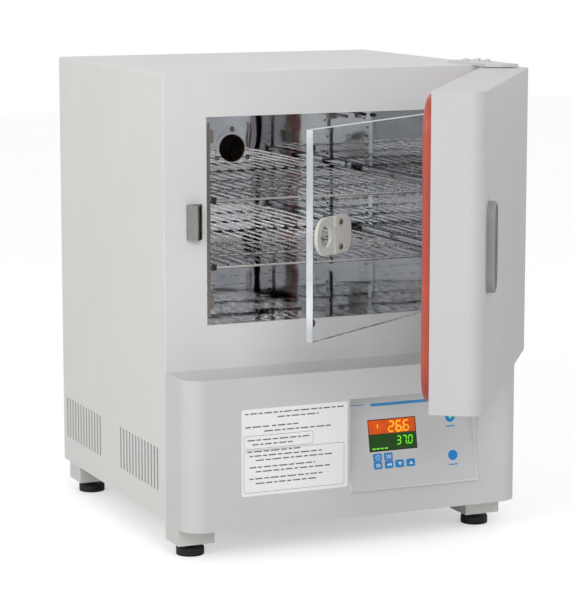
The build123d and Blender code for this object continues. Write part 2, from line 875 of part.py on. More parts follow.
with BuildPart() as control_board:
    with BuildSketch(panel.offset(-panel_thickness - board_gap)):
        with Locations(panel_middle):
            Rectangle(board_width, board_height)
    extrude(amount=-board_thickness)
    with BuildSketch(panel.offset(-panel_thickness - board_gap)):
        with Locations(*all_switch_places):
            Rectangle(switch_size, switch_size)
    extrude(amount=board_gap - seat_gap - key_lip_thickness - key_travel - seat_gap)

with BuildPart() as display_module:
    with BuildSketch(panel.offset(-panel_thickness - board_gap)):
        with Locations(display_places):
            Rectangle(display_width + 2 * display_margin, display_height + 2 * display_margin)
    extrude(amount=board_gap)
    with BuildSketch(panel.offset(-panel_thickness)):
        with Locations(display_places):
            Rectangle(display_width, display_height)
    extrude(amount=panel_thickness - display_recess)

keys = {}
for key_name, key_place in key_places.items():
    with BuildPart() as key:
        with BuildSketch(panel.offset(key_proud)):
            with Locations(key_place):
                RectangleRounded(key_width, key_height, key_corner)
        extrude(amount=-(key_proud + panel_thickness + seat_gap + key_lip_thickness))
        fillet(key.faces().sort_by(Axis((0, 0, 0), panel.z_dir))[-1].edges(), key_edge)
        with BuildSketch(panel.offset(-panel_thickness - seat_gap)):
            with Locations(key_place):
                Rectangle(key_width + 2 * key_lip, key_height)
        extrude(amount=-key_lip_thickness)
    keys[key_name] = key

for button_name, button_place in button_places.items():
    with BuildPart() as button:
        with BuildSketch(panel.offset(button_proud)):
            with Locations(button_place):
                Circle(button_radius)
        extrude(amount=-(button_proud + panel_thickness + seat_gap + key_lip_thickness))
        fillet(button.faces().sort_by(Axis((0, 0, 0), panel.z_dir))[-1].edges(), face_edge)
        with BuildSketch(panel.offset(-panel_thickness - seat_gap)):
            with Locations(button_place):
                Circle(button_radius + key_lip)
        extrude(amount=-key_lip_thickness)
    keys[button_name] = button

# Plate for the operating notes, on the housing's front
plate_sheet = 0.4
notes_left = -172
notes_width = 155
notes_sill = 85
notes_height = 118

with BuildPart() as notes_plate:
    with BuildSketch(upright(cabinet, -housing_depth)):
        with Locations((notes_left + notes_width / 2, notes_sill + notes_height / 2)):
            RectangleRounded(notes_width, notes_height, small_corner)
    extrude(amount=plate_sheet)

# Transformer and power board on the base pan
pan_top = body_underside + sheet
transformer_place = (-140, 150)
transformer_width = 78
transformer_depth = 65
transformer_height = 52
winding_bulge = 12
power_board_place = (70, 180)
power_board_width = 130
power_board_depth = 95
standoff_height = 8
standoff_radius = 3.5
capacitor_radius = 9
capacitor_height = 28
sink_width = 40
sink_depth = 24
sink_height = 32

with BuildPart() as transformer:
    with BuildSketch(cabinet.offset(pan_top)):
        with Locations(transformer_place):
            Rectangle(transformer_width, transformer_depth)
    extrude(amount=transformer_height)
    with BuildSketch(cabinet.offset(pan_top + winding_bulge)):
        with Locations(transformer_place):
            RectangleRounded(transformer_width / 2, transformer_depth + 2 * winding_bulge, winding_bulge / 2)
    extrude(amount=transformer_height - 2 * winding_bulge)

with BuildPart() as power_board:
    with BuildSketch(cabinet.offset(pan_top)):
        with Locations(power_board_place):
            with GridLocations(power_board_width - boss_inset, power_board_depth - boss_inset, 2, 2):
                Circle(standoff_radius)
    extrude(amount=standoff_height)
    with BuildSketch(cabinet.offset(pan_top + standoff_height)):
        with Locations(power_board_place):
            Rectangle(power_board_width, power_board_depth)
    extrude(amount=board_thickness)
    with BuildSketch(cabinet.offset(pan_top + standoff_height + board_thickness)):
        with Locations(power_board_place):
            with Locations((-power_board_width / 4, 0)):
                with GridLocations(1, 3 * capacitor_radius, 1, 2):
                    Circle(capacitor_radius)
    extrude(amount=capacitor_height)
    with BuildSketch(cabinet.offset(pan_top + standoff_height + board_thickness)):
        with Locations(power_board_place):
            with Locations((power_board_width / 4, 0)):
                Rectangle(sink_width, sink_depth)
    extrude(amount=sink_height)

# Power inlet at the back: flange, socket with three blades, and a fuse drawer.
inlet_depth = 26
inlet_rim = 4
inlet_flange = 2.5
socket_width = 24
socket_height = 16.5
socket_depth = 17
socket_corner = 4.5
socket_rise = -9
drawer_width = 22
drawer_height = 14
drawer_rise = 13
drawer_depth = 20
drawer_proud = 1
blade_width = 4
blade_thickness = 2
blade_spacing = 14
earth_drop = 4

with BuildPart() as power_inlet:
    with BuildSketch(rearward(cabinet, cabinet_depth)):
        with Locations((-inlet_x, inlet_z)):
            RectangleRounded(inlet_width + 2 * inlet_rim, inlet_height + 2 * inlet_rim, inlet_rim / 2)
    extrude(amount=inlet_flange)
    with BuildSketch(rearward(cabinet, cabinet_depth)):
        with Locations((-inlet_x, inlet_z)):
            Rectangle(inlet_width, inlet_height)
    extrude(amount=-inlet_depth)
    with BuildSketch(rearward(cabinet, cabinet_depth + inlet_flange)) as socket_outline:
        with Locations((-inlet_x, inlet_z + socket_rise)):
            Rectangle(socket_width, socket_height)
        chamfer(socket_outline.vertices().group_by(Axis.Y)[-1], socket_corner)
    extrude(amount=-socket_depth, mode=Mode.SUBTRACT)
    with BuildSketch(rearward(cabinet, cabinet_depth + inlet_flange)):
        with Locations((-inlet_x, inlet_z + drawer_rise)):
            Rectangle(drawer_width, drawer_height)
    extrude(amount=-drawer_depth, mode=Mode.SUBTRACT)
    with BuildSketch(rearward(cabinet, cabinet_depth + inlet_flange - socket_depth)):
        with Locations((-inlet_x, inlet_z + socket_rise)):
            with Locations(
                (-blade_spacing / 2, -earth_drop / 2),
                (blade_spacing / 2, -earth_drop / 2),
                (0, earth_drop / 2),
            ):
                Rectangle(blade_thickness, blade_width)
    extrude(amount=socket_depth - inlet_flange)

with BuildPart() as fuse_drawer:
    with BuildSketch(rearward(cabinet, cabinet_depth + inlet_flange + drawer_proud)):
        with Locations((-inlet_x, inlet_z + drawer_rise)):
            Rectangle(drawer_width, drawer_height)
    extrude(amount=-(drawer_depth + drawer_proud))

# Handle and latch sizes, on the closed door
handle_x = -201.5
handle_z = 453
bezel_width = 35
bezel_height = 112.5
bezel_proud = 10
bezel_wall = 4
bezel_edge = 2.5
cup_depth = 20
cup_wall = 2
cup_width = bezel_width - 2 * bezel_wall
cup_height = bezel_height - 2 * bezel_wall
lever_height = 85
lever_side_gap = 0.5
lever_thickness = 4
lever_pin_inset = 9.5
lever_pin_y = -82
lever_pin_radius = 1.5
lever_pin_length = 102
knuckle_radius = 3.5
knuckle_length = 58
finger_radius = 54
finger_bite = 9
finger_z = 457
pawl_thickness = 3
pawl_height = 20
pawl_x = -190.5
pawl_bend_y = -16
pawl_tip_x = -197.2
pawl_tip_y = -4.9
window_left = -216
window_right = -160
window_height = 60
pawl_slot_x = -199.2
pawl_slot_width = 21.4
pawl_slot_height = 24
lever_pin_x = handle_x - lever_pin_inset
window_middle = (window_left + window_right) / 2
window_width = window_right - window_left

# Outer door: a folded skin, closed by an inner panel, round a block of insulation.
door_depth = housing_depth - door_gap
door_height = door_top - door_sill
door_middle = door_sill + door_height / 2
door_edge = 1.2

with BuildPart() as door_shell:
    with BuildSketch(outer_door.offset(door_sill)) as door_plan:
        with Locations((0, -door_gap - door_depth / 2)):
            Rectangle(door_width, door_depth)
        fillet(door_plan.vertices().group_by(Axis.Y)[0], door_corner)
    extrude(amount=door_height)
    for end in (0, -1):
        rim = door_shell.faces().sort_by(Axis.Z)[end].edges()
        fillet(rim.sort_by(Axis((0, 0, 0), outer_door.y_dir))[:-1], door_edge)
    with BuildSketch(outer_door.offset(door_sill + door_sheet)) as hollow_plan:
        with Locations((0, -door_gap - (door_depth - door_sheet) / 2)):
            Rectangle(door_width - 2 * door_sheet, door_depth - door_sheet)
        fillet(hollow_plan.vertices().group_by(Axis.Y)[0], door_corner - door_sheet)
    extrude(amount=door_height - 2 * door_sheet, mode=Mode.SUBTRACT)
    with BuildSketch(upright(outer_door, -housing_depth)):
        with Locations((handle_x, handle_z)):
            SlotOverall(cup_height + 2 * cup_wall, cup_width + 2 * cup_wall, rotation=90)
    extrude(amount=-door_sheet, mode=Mode.SUBTRACT)
    with Locations(*spots(outer_door.offset(door_top), [(hinge_x, hinge_y)])):
        Hole(bush_radius)

with BuildPart() as door_inner_panel:
    with BuildSketch(upright(outer_door, -door_gap)):
        with Locations((0, door_middle)):
            Rectangle(door_width - 2 * door_sheet, door_height - 2 * door_sheet)
        with Locations((window_middle, latch_z)):
            RectangleRounded(window_width, window_height, small_corner, mode=Mode.SUBTRACT)
    extrude(amount=door_sheet)

with BuildPart() as door_insulation:
    with BuildSketch(outer_door.offset(door_sill + door_sheet)) as fill_plan:
        with Locations((0, -door_gap - door_depth / 2)):
            Rectangle(door_width - 2 * door_sheet, door_depth - 2 * door_sheet)
        fillet(fill_plan.vertices().group_by(Axis.Y)[0], door_corner - door_sheet)
    extrude(amount=door_height - 2 * door_sheet)
    with BuildSketch(upright(outer_door, -housing_depth)):
        with Locations((handle_x, handle_z)):
            SlotOverall(cup_height + 2 * cup_wall, cup_width + 2 * cup_wall, rotation=90)
    extrude(amount=-(cup_depth + cup_wall), mode=Mode.SUBTRACT)
    with BuildSketch(upright(outer_door, -door_gap)):
        with Locations((window_middle, latch_z)):
            RectangleRounded(window_width, window_height, small_corner)
    extrude(amount=door_depth - cup_depth - cup_wall, mode=Mode.SUBTRACT)
    with Locations(*spots(outer_door.offset(door_top), [(hinge_x, hinge_y)])):
        Hole(bush_radius)

# Door gasket: a soft loop, domed towards the cabinet.
gasket_half_width = 236
gasket_sill = 258
gasket_top = 637
gasket_corner = 45
gasket_width = 13
gasket_height = 12.3
gasket_dome = 5.5

with BuildPart() as door_gasket:
    with BuildSketch(upright(outer_door, -door_gap)):
        with Locations((0, (gasket_sill + gasket_top) / 2)):
            RectangleRounded(2 * gasket_half_width, gasket_top - gasket_sill, gasket_corner)
            RectangleRounded(
                2 * (gasket_half_width - gasket_width),
                gasket_top - gasket_sill - 2 * gasket_width,
                gasket_corner - gasket_width,
                mode=Mode.SUBTRACT,
            )
    extrude(amount=-gasket_height)
    fillet(door_gasket.faces().sort_by(Axis((0, 0, 0), outer_door.y_dir))[-1].edges(), gasket_dome)

# Door bushes, each with a thin flange between the door and its hinge plate
upper_flange = cabinet_top - door_top - seat_gap
lower_flange = door_sill - housing_top - lower_plate_thickness - seat_gap

with BuildPart() as door_bushes:
    for level, rise, flange in ((door_top, 1, upper_flange), (door_sill, -1, lower_flange)):
        with BuildSketch(outer_door.offset(level)):
            with Locations((hinge_x, hinge_y)):
                Circle(bush_flange)
                Circle(pin_radius + pin_clearance, mode=Mode.SUBTRACT)
        extrude(amount=rise * flange)
        with BuildSketch(outer_door.offset(level)):
            with Locations((hinge_x, hinge_y)):
                Circle(bush_radius)
                Circle(pin_radius + pin_clearance, mode=Mode.SUBTRACT)
        extrude(amount=-rise * bush_length)

# Handle: a moulded bezel with a cup behind it, and a pin across it for the lever
with BuildPart() as handle_bezel:
    with BuildSketch(upright(outer_door, -housing_depth)):
        with Locations((handle_x, handle_z)):
            SlotOverall(bezel_height, bezel_width, rotation=90)
    extrude(amount=bezel_proud)
    fillet(handle_bezel.faces().sort_by(Axis((0, 0, 0), outer_door.y_dir))[0].edges(), bezel_edge)
    with BuildSketch(upright(outer_door, -housing_depth)):
        with Locations((handle_x, handle_z)):
            SlotOverall(cup_height + 2 * cup_wall, cup_width + 2 * cup_wall, rotation=90)
    extrude(amount=-(cup_depth + cup_wall))
    with BuildSketch(upright(outer_door, -housing_depth - bezel_proud)):
        with Locations((handle_x, handle_z)):
            SlotOverall(cup_height, cup_width, rotation=90)
    extrude(amount=-(bezel_proud + cup_depth), mode=Mode.SUBTRACT)
    with BuildSketch(upright(outer_door, -housing_depth)):
        with Locations((pawl_slot_x, latch_z)):
            Rectangle(pawl_slot_width, pawl_slot_height)
    extrude(amount=-(cup_depth + cup_wall), mode=Mode.SUBTRACT)
    with BuildSketch(outer_door.offset(handle_z)):
        with Locations((lever_pin_x, lever_pin_y)):
            Circle(lever_pin_radius)
    extrude(amount=lever_pin_length / 2, both=True, mode=Mode.SUBTRACT)

with BuildPart() as lever_pin:
    with BuildSketch(outer_door.offset(handle_z)):
        with Locations((lever_pin_x, lever_pin_y)):
            Circle(lever_pin_radius)
    extrude(amount=lever_pin_length / 2, both=True)

with BuildPart() as handle_lever:
    with BuildSketch(upright(outer_door, lever_pin_y + lever_thickness / 2)):
        with Locations((handle_x, handle_z)):
            SlotOverall(lever_height, cup_width - 2 * lever_side_gap, rotation=90)
        with Locations((handle_x + cup_width / 2 - lever_side_gap + finger_radius - finger_bite, finger_z)):
            Circle(finger_radius, mode=Mode.SUBTRACT)
    extrude(amount=lever_thickness)
    fillet(handle_lever.faces().sort_by(Axis((0, 0, 0), outer_door.y_dir))[0].edges(), lever_thickness / 4)
    with BuildSketch(outer_door.offset(handle_z)):
        with Locations((lever_pin_x, lever_pin_y)):
            Circle(knuckle_radius)
    extrude(amount=knuckle_length / 2, both=True)
    with BuildSketch(outer_door.offset(handle_z)):
        with Locations((lever_pin_x, lever_pin_y)):
            Circle(lever_pin_radius + pin_clearance)
    extrude(amount=lever_height / 2, both=True, mode=Mode.SUBTRACT)

# Pawl: an arm from the lever through the door, whose hooked tip catches behind the strike's lip
with BuildPart() as latch_pawl:
    with BuildSketch(outer_door.offset(latch_z - pawl_height / 2)):
        with BuildLine():
            Polyline(
                (lever_pin_x, lever_pin_y),
                (pawl_x, pawl_bend_y),
                (pawl_x, pawl_tip_y),
                (pawl_tip_x, pawl_tip_y),
            )
        trace(line_width=pawl_thickness)
        with Locations((lever_pin_x, lever_pin_y)):
            Circle(knuckle_radius, mode=Mode.SUBTRACT)
    extrude(amount=pawl_height)

# Leaf spring under the lever
spring_sheet = 0.8
spring_width = 8
spring_z = 465
spring_floor = -housing_depth + cup_depth - spring_sheet / 2

with BuildPart() as lever_spring:
    with BuildSketch(outer_door.offset(spring_z)):
        with BuildLine():
            FilletPolyline(
                (handle_x - 7, spring_floor),
                (handle_x + 7, spring_floor),
                (handle_x + 9, spring_floor - 9),
                (handle_x + 1, spring_floor - 18),
                radius=1.5,
            )
        trace(line_width=spring_sheet)
    extrude(amount=spring_width)

# Inner door: a clear pane, drilled for its pull and pocketed for two magnets.
pull_z = 445
pull_left = -184.5
pull_right = -102
pull_height = 49.5
pull_base_corner = 6
pull_ring_corner = 10
pull_axis_x = -141
pull_axis_y = -2.3
pull_knuckle = 3
pull_thickness = 6
pull_screw_x = -129
pull_screw_spread = 32.2
pull_pin_radius = 1
ring_thickness = 5
ring_hole_x = -163
ring_hole_width = 22
ring_hole_height = 25.8
ring_knuckle_height = 17
pull_screw_places = [
    (pull_screw_x, pull_z - pull_screw_spread / 2),
    (pull_screw_x, pull_z + pull_screw_spread / 2),
]
pane_corner = 3

with BuildPart() as inner_door_pane:
    with BuildSketch(upright(inner_door, pane_setback)):
        with Locations(((pane_left + pane_right) / 2, (pane_bottom + pane_top) / 2)):
            RectangleRounded(pane_right - pane_left, pane_top - pane_bottom, pane_corner)
        with Locations(*pull_screw_places):
            Circle(small_screw, mode=Mode.SUBTRACT)
    extrude(amount=-pane_thickness)
    with BuildSketch(upright(inner_door, pane_back)):
        with Locations(*[(pane_left + magnet_inset, z) for z in magnet_heights]):
            Circle(magnet_radius)
    extrude(amount=magnet_depth, mode=Mode.SUBTRACT)

with BuildPart() as inner_door_magnets:
    with BuildSketch(upright(inner_door, pane_back)):
        with Locations(*[(pane_left + magnet_inset, z) for z in magnet_heights]):
            Circle(magnet_radius)
    extrude(amount=magnet_depth)

# Hinge blocks on the pane, bored for the pins
block_left = 174
block_height = 24
block_depth = 7
block_edge = 1.5
block_width = pane_right - block_left

with BuildPart() as inner_hinge_blocks:
    for level in (opening_sill + cap_clearance, opening_top - cap_clearance - block_height):
        with BuildSketch(inner_door.offset(level)) as block_plan:
            with Locations((block_left + block_width / 2, pane_setback - block_depth / 2)):
                Rectangle(block_width, block_depth)
            fillet(block_plan.vertices().group_by(Axis.Y)[0], block_edge)
            with Locations((inner_hinge_x, inner_hinge_y)):
                Circle(inner_pin_radius + pin_clearance, mode=Mode.SUBTRACT)
        extrude(amount=block_height)

# Pull: a base screwed to the pane, and a ring that folds out of it on a pin
base_left = pull_axis_x + pull_knuckle + 0.5
ring_right = pull_axis_x - pull_knuckle - seat_gap
ring_back = pane_setback - seat_gap
knuckle_top = pull_height / 2
ring_half_knuckle = ring_knuckle_height / 2

with BuildPart() as pull_base:
    with BuildSketch(upright(inner_door, pane_setback)) as base_outline:
        with Locations(((base_left + pull_right) / 2, pull_z)):
            Rectangle(pull_right - base_left, pull_height)
        fillet(base_outline.vertices().group_by(Axis.X)[-1], pull_base_corner)
    extrude(amount=pull_thickness)
    for side in (-1, 1):
        low = pull_z + side * (ring_half_knuckle + seat_gap)
        with BuildSketch(inner_door.offset(low)):
            with Locations((pull_axis_x, pull_axis_y)):
                Circle(pull_knuckle)
            with Locations(((pull_axis_x + base_left) / 2, pull_axis_y)):
                Rectangle(base_left - pull_axis_x, 2 * pull_knuckle)
        extrude(amount=side * (knuckle_top - ring_half_knuckle - seat_gap))
    with BuildSketch(inner_door.offset(pull_z)):
        with Locations((pull_axis_x, pull_axis_y)):
            Circle(pull_pin_radius)
    extrude(amount=pull_height / 2, both=True)
    with BuildSketch(upright(inner_door, pane_setback)):
        with Locations(*pull_screw_places):
            Circle(small_screw)
    extrude(amount=pull_thickness, mode=Mode.SUBTRACT)

with BuildPart() as pull_ring:
    with BuildSketch(upright(inner_door, ring_back)) as ring_outline:
        with Locations(((pull_left + ring_right) / 2, pull_z)):
            Rectangle(ring_right - pull_left, pull_height)
        fillet(ring_outline.vertices().group_by(Axis.X)[0], pull_ring_corner)
        with Locations((ring_hole_x, pull_z)):
            RectangleRounded(ring_hole_width, ring_hole_height, 9, mode=Mode.SUBTRACT)
    extrude(amount=ring_thickness)
    with BuildSketch(inner_door.offset(pull_z - ring_half_knuckle)):
        with Locations((pull_axis_x, pull_axis_y)):
            Circle(pull_knuckle)
        with Locations(((pull_axis_x + ring_right) / 2, ring_back - ring_thickness / 2)):
            Rectangle(pull_axis_x - ring_right, ring_thickness)
        with Locations((pull_axis_x, pull_axis_y)):
            Circle(pull_pin_radius + pin_clearance, mode=Mode.SUBTRACT)
    extrude(amount=ring_knuckle_height)

with BuildPart() as pull_screws:
    with Locations(*spots(upright(inner_door, pane_setback - pull_thickness), pull_screw_places)):
        add(long_pan_head)

pieces = {
    "cabinet_wrap": cabinet_wrap,
    "front_frame": front_frame,
    "rear_panel": rear_panel,
    "base_pan": base_pan,
    "foot_brackets": foot_brackets,
    "left_front_foot": levelling_feet[0],
    "right_front_foot": levelling_feet[1],
    "left_rear_foot": levelling_feet[2],
    "right_rear_foot": levelling_feet[3],
    "control_housing": control_housing,
    "hinge_plates": hinge_plates,
    "hinge_pins": hinge_pins,
    "hinge_screws": hinge_screws,
    "strike": strike,
    "chamber_liner": chamber_liner,
    "chamber_insulation": chamber_insulation,
    "floor_plate": floor_plate,
    "heater_element": heater_element,
    "temperature_probe": temperature_probe,
    "port_tube": port_tube,
    "port_stopper": port_stopper,
    "small_screws": small_screws,
    "shelf_uprights": shelf_uprights,
    "shelf_rails": shelf_rails,
    "upper_shelf": shelves["upper_shelf"],
    "lower_shelf": shelves["lower_shelf"],
    "keeper_strip": keeper_strip,
    "inner_hinge_ears": inner_hinge_ears,
    "control_panel": control_panel,
    "control_board": control_board,
    "display_module": display_module,
    "notes_plate": notes_plate,
    "transformer": transformer,
    "power_board": power_board,
    "power_inlet": power_inlet,
    "fuse_drawer": fuse_drawer,
    "door_shell": door_shell,
    "door_inner_panel": door_inner_panel,
    "door_insulation": door_insulation,
    "door_gasket": door_gasket,
    "door_bushes": door_bushes,
    "handle_bezel": handle_bezel,
    "lever_pin": lever_pin,
    "handle_lever": handle_lever,
    "latch_pawl": latch_pawl,
    "lever_spring": lever_spring,
    "inner_door_pane": inner_door_pane,
    "inner_door_magnets": inner_door_magnets,
    "inner_hinge_blocks": inner_hinge_blocks,
    "pull_base": pull_base,
    "pull_ring": pull_ring,
    "pull_screws": pull_screws,
}
pieces.update(keys)

os.makedirs("parts", exist_ok=True)
for piece_name, piece in pieces.items():
    piece.part.label = piece_name
    export_step(piece.part, f"parts/{piece_name}.step")
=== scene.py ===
import math

import bpy
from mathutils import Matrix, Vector


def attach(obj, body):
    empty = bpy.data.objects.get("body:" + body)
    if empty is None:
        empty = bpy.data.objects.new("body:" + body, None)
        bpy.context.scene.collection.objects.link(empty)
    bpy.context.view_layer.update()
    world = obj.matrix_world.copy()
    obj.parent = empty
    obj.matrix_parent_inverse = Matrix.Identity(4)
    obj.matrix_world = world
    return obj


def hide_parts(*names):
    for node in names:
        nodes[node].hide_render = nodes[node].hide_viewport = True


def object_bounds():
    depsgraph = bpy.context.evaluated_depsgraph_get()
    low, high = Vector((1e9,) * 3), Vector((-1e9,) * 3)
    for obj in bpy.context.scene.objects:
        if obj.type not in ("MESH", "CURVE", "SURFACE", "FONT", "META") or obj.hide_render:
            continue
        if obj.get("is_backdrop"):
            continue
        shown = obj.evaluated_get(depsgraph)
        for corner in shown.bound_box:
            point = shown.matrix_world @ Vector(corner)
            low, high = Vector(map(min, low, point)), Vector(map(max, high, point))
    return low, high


# A laboratory incubator: the finish of every surface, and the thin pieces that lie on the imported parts.
# Pieces are given in millimetres on planes of the part, and the studio in metres.
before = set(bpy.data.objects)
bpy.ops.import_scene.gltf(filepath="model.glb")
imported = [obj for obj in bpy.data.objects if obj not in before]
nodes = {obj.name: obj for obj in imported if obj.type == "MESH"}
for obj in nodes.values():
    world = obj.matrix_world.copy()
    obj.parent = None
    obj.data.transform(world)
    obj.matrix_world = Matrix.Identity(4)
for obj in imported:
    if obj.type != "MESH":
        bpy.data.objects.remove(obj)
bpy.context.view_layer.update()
MM = 0.001

# Materials
NOISE_LOW, NOISE_HIGH = 0.35, 0.65
SPECK_LOW, SPECK_HIGH, SPECK_SCALE = 0.62, 0.7, 0.7
SMOOTHEST = 0.02
RELIEF_DEPTH = 0.6
COAT_ROUGHNESS = 0.2
DULL = 0.1
BRIGHTEST_SPOT = 1.08
SMEAR_SCALE, SMEAR_ROUGHNESS = 14, 0.05
PANE_TINT, PANE_CLEAR = (0.95, 0.975, 0.98), (0.985, 0.99, 0.99)
PANE_IOR = 1.3


def new_material(name):
    mat = bpy.data.materials.new(name)
    mat.use_nodes = True
    tree = mat.node_tree
    return mat, tree, tree.nodes["Principled BSDF"]


def coordinates(tree, stretch=(1, 1, 1)):
    """The piece's own coordinates, stretched along an axis for brushed grain."""
    source = tree.nodes.new("ShaderNodeTexCoord")
    mapping = tree.nodes.new("ShaderNodeMapping")
    mapping.inputs["Scale"].default_value = stretch
    tree.links.new(source.outputs["Object"], mapping.inputs["Vector"])
    return mapping.outputs["Vector"]


def noise(tree, vector, scale, detail, rough=0.5):
    node = tree.nodes.new("ShaderNodeTexNoise")
    node.inputs["Scale"].default_value = scale
    node.inputs["Detail"].default_value = detail
    node.inputs["Roughness"].default_value = rough
    tree.links.new(vector, node.inputs["Vector"])
    return node.outputs["Fac"]


def spread(tree, value, low, high, start=NOISE_LOW, end=NOISE_HIGH):
    """A noise value carried from the range start to end to the range low to high."""
    node = tree.nodes.new("ShaderNodeMapRange")
    node.inputs["From Min"].default_value = start
    node.inputs["From Max"].default_value = end
    node.inputs["To Min"].default_value = low
    node.inputs["To Max"].default_value = high
    tree.links.new(value, node.inputs["Value"])
    return node.outputs["Result"]


def blend_colours(tree, factor, first, second):
    """A mix of two colours, each one a tuple or another node's output."""
    node = tree.nodes.new("ShaderNodeMix")
    node.data_type = "RGBA"
    tree.links.new(factor, node.inputs["Factor"])
    for socket, colour in (("A", first), ("B", second)):
        target = next(s for s in node.inputs if s.name == socket and s.type == "RGBA")
        if isinstance(colour, tuple):
            target.default_value = (*colour, 1)
        else:
            tree.links.new(colour, target)
    return next(s for s in node.outputs if s.type == "RGBA")


def bump(tree, shader, height, strength, distance):
    node = tree.nodes.new("ShaderNodeBump")
    node.inputs["Strength"].default_value = strength
    node.inputs["Distance"].default_value = distance
    tree.links.new(height, node.inputs["Height"])
    tree.links.new(node.outputs["Normal"], shader.inputs["Normal"])


def shade(colour, by):
    return tuple(min(1.0, c * by) for c in colour)


def finish(
    name, colour, rough, grain, relief, metallic=0.0, mottle=0.03, spots=0.0, spot_colour=(1, 1, 1),
    stretch=(1, 1, 1), coat=0.0, rough_swing=0.06, cloud=9.0,
):
    """A paint, rubber, plastic or metal: cloudy tone, fine grain, and specks where there are any."""
    mat, tree, shader = new_material(name)
    vector = coordinates(tree, stretch)
    clouds = noise(tree, vector, cloud, 4)
    fine = noise(tree, vector, 1 / grain, 2, 0.6)
    tone = blend_colours(
        tree, spread(tree, clouds, 0, 1), shade(colour, 1 - mottle), shade(colour, 1 + mottle)
    )
    if spots:
        specks = noise(tree, vector, SPECK_SCALE / grain, 1, 0.4)
        amount = spread(tree, specks, 0, spots, SPECK_LOW, SPECK_HIGH)
        tone = blend_colours(tree, amount, tone, spot_colour)
    tree.links.new(tone, shader.inputs["Base Color"])
    roughness = spread(tree, fine, max(SMOOTHEST, rough - rough_swing), rough + rough_swing)
    tree.links.new(roughness, shader.inputs["Roughness"])
    shader.inputs["Metallic"].default_value = metallic
    shader.inputs["Coat Weight"].default_value = coat
    shader.inputs["Coat Roughness"].default_value = COAT_ROUGHNESS
    bump(tree, shader, fine, relief, grain * RELIEF_DEPTH)
    return mat


def lit(name, colour, strength, base=(0.02, 0.02, 0.02), cloud=45, dim=0.8):
    """A glowing segment or backlight, or an edge whose glow is painted highlight, uneven between dim and
    its brightest.
    """
    mat, tree, shader = new_material(name)
    vector = coordinates(tree)
    clouds = noise(tree, vector, cloud, 2)
    dark, bright = shade(colour, dim), shade(colour, BRIGHTEST_SPOT)
    tree.links.new(
        blend_colours(tree, spread(tree, clouds, 0, 1), dark, bright), shader.inputs["Emission Color"]
    )
    shader.inputs["Emission Strength"].default_value = strength
    shader.inputs["Base Color"].default_value = (*base, 1)
    shader.inputs["Roughness"].default_value = 0.5
    shader.inputs["Specular IOR Level"].default_value = DULL
    return mat


def clear(name):
    """The acrylic pane: clear and faintly cool, with faint smears in its polish."""
    mat, tree, shader = new_material(name)
    vector = coordinates(tree)
    smears = noise(tree, vector, SMEAR_SCALE, 5, 0.6)
    tree.links.new(spread(tree, smears, 0.0, SMEAR_ROUGHNESS), shader.inputs["Roughness"])
    tone = blend_colours(tree, spread(tree, smears, 0, 1), PANE_TINT, PANE_CLEAR)
    tree.links.new(tone, shader.inputs["Base Color"])
    shader.inputs["Transmission Weight"].default_value = 1.0
    shader.inputs["IOR"].default_value = PANE_IOR
    return mat


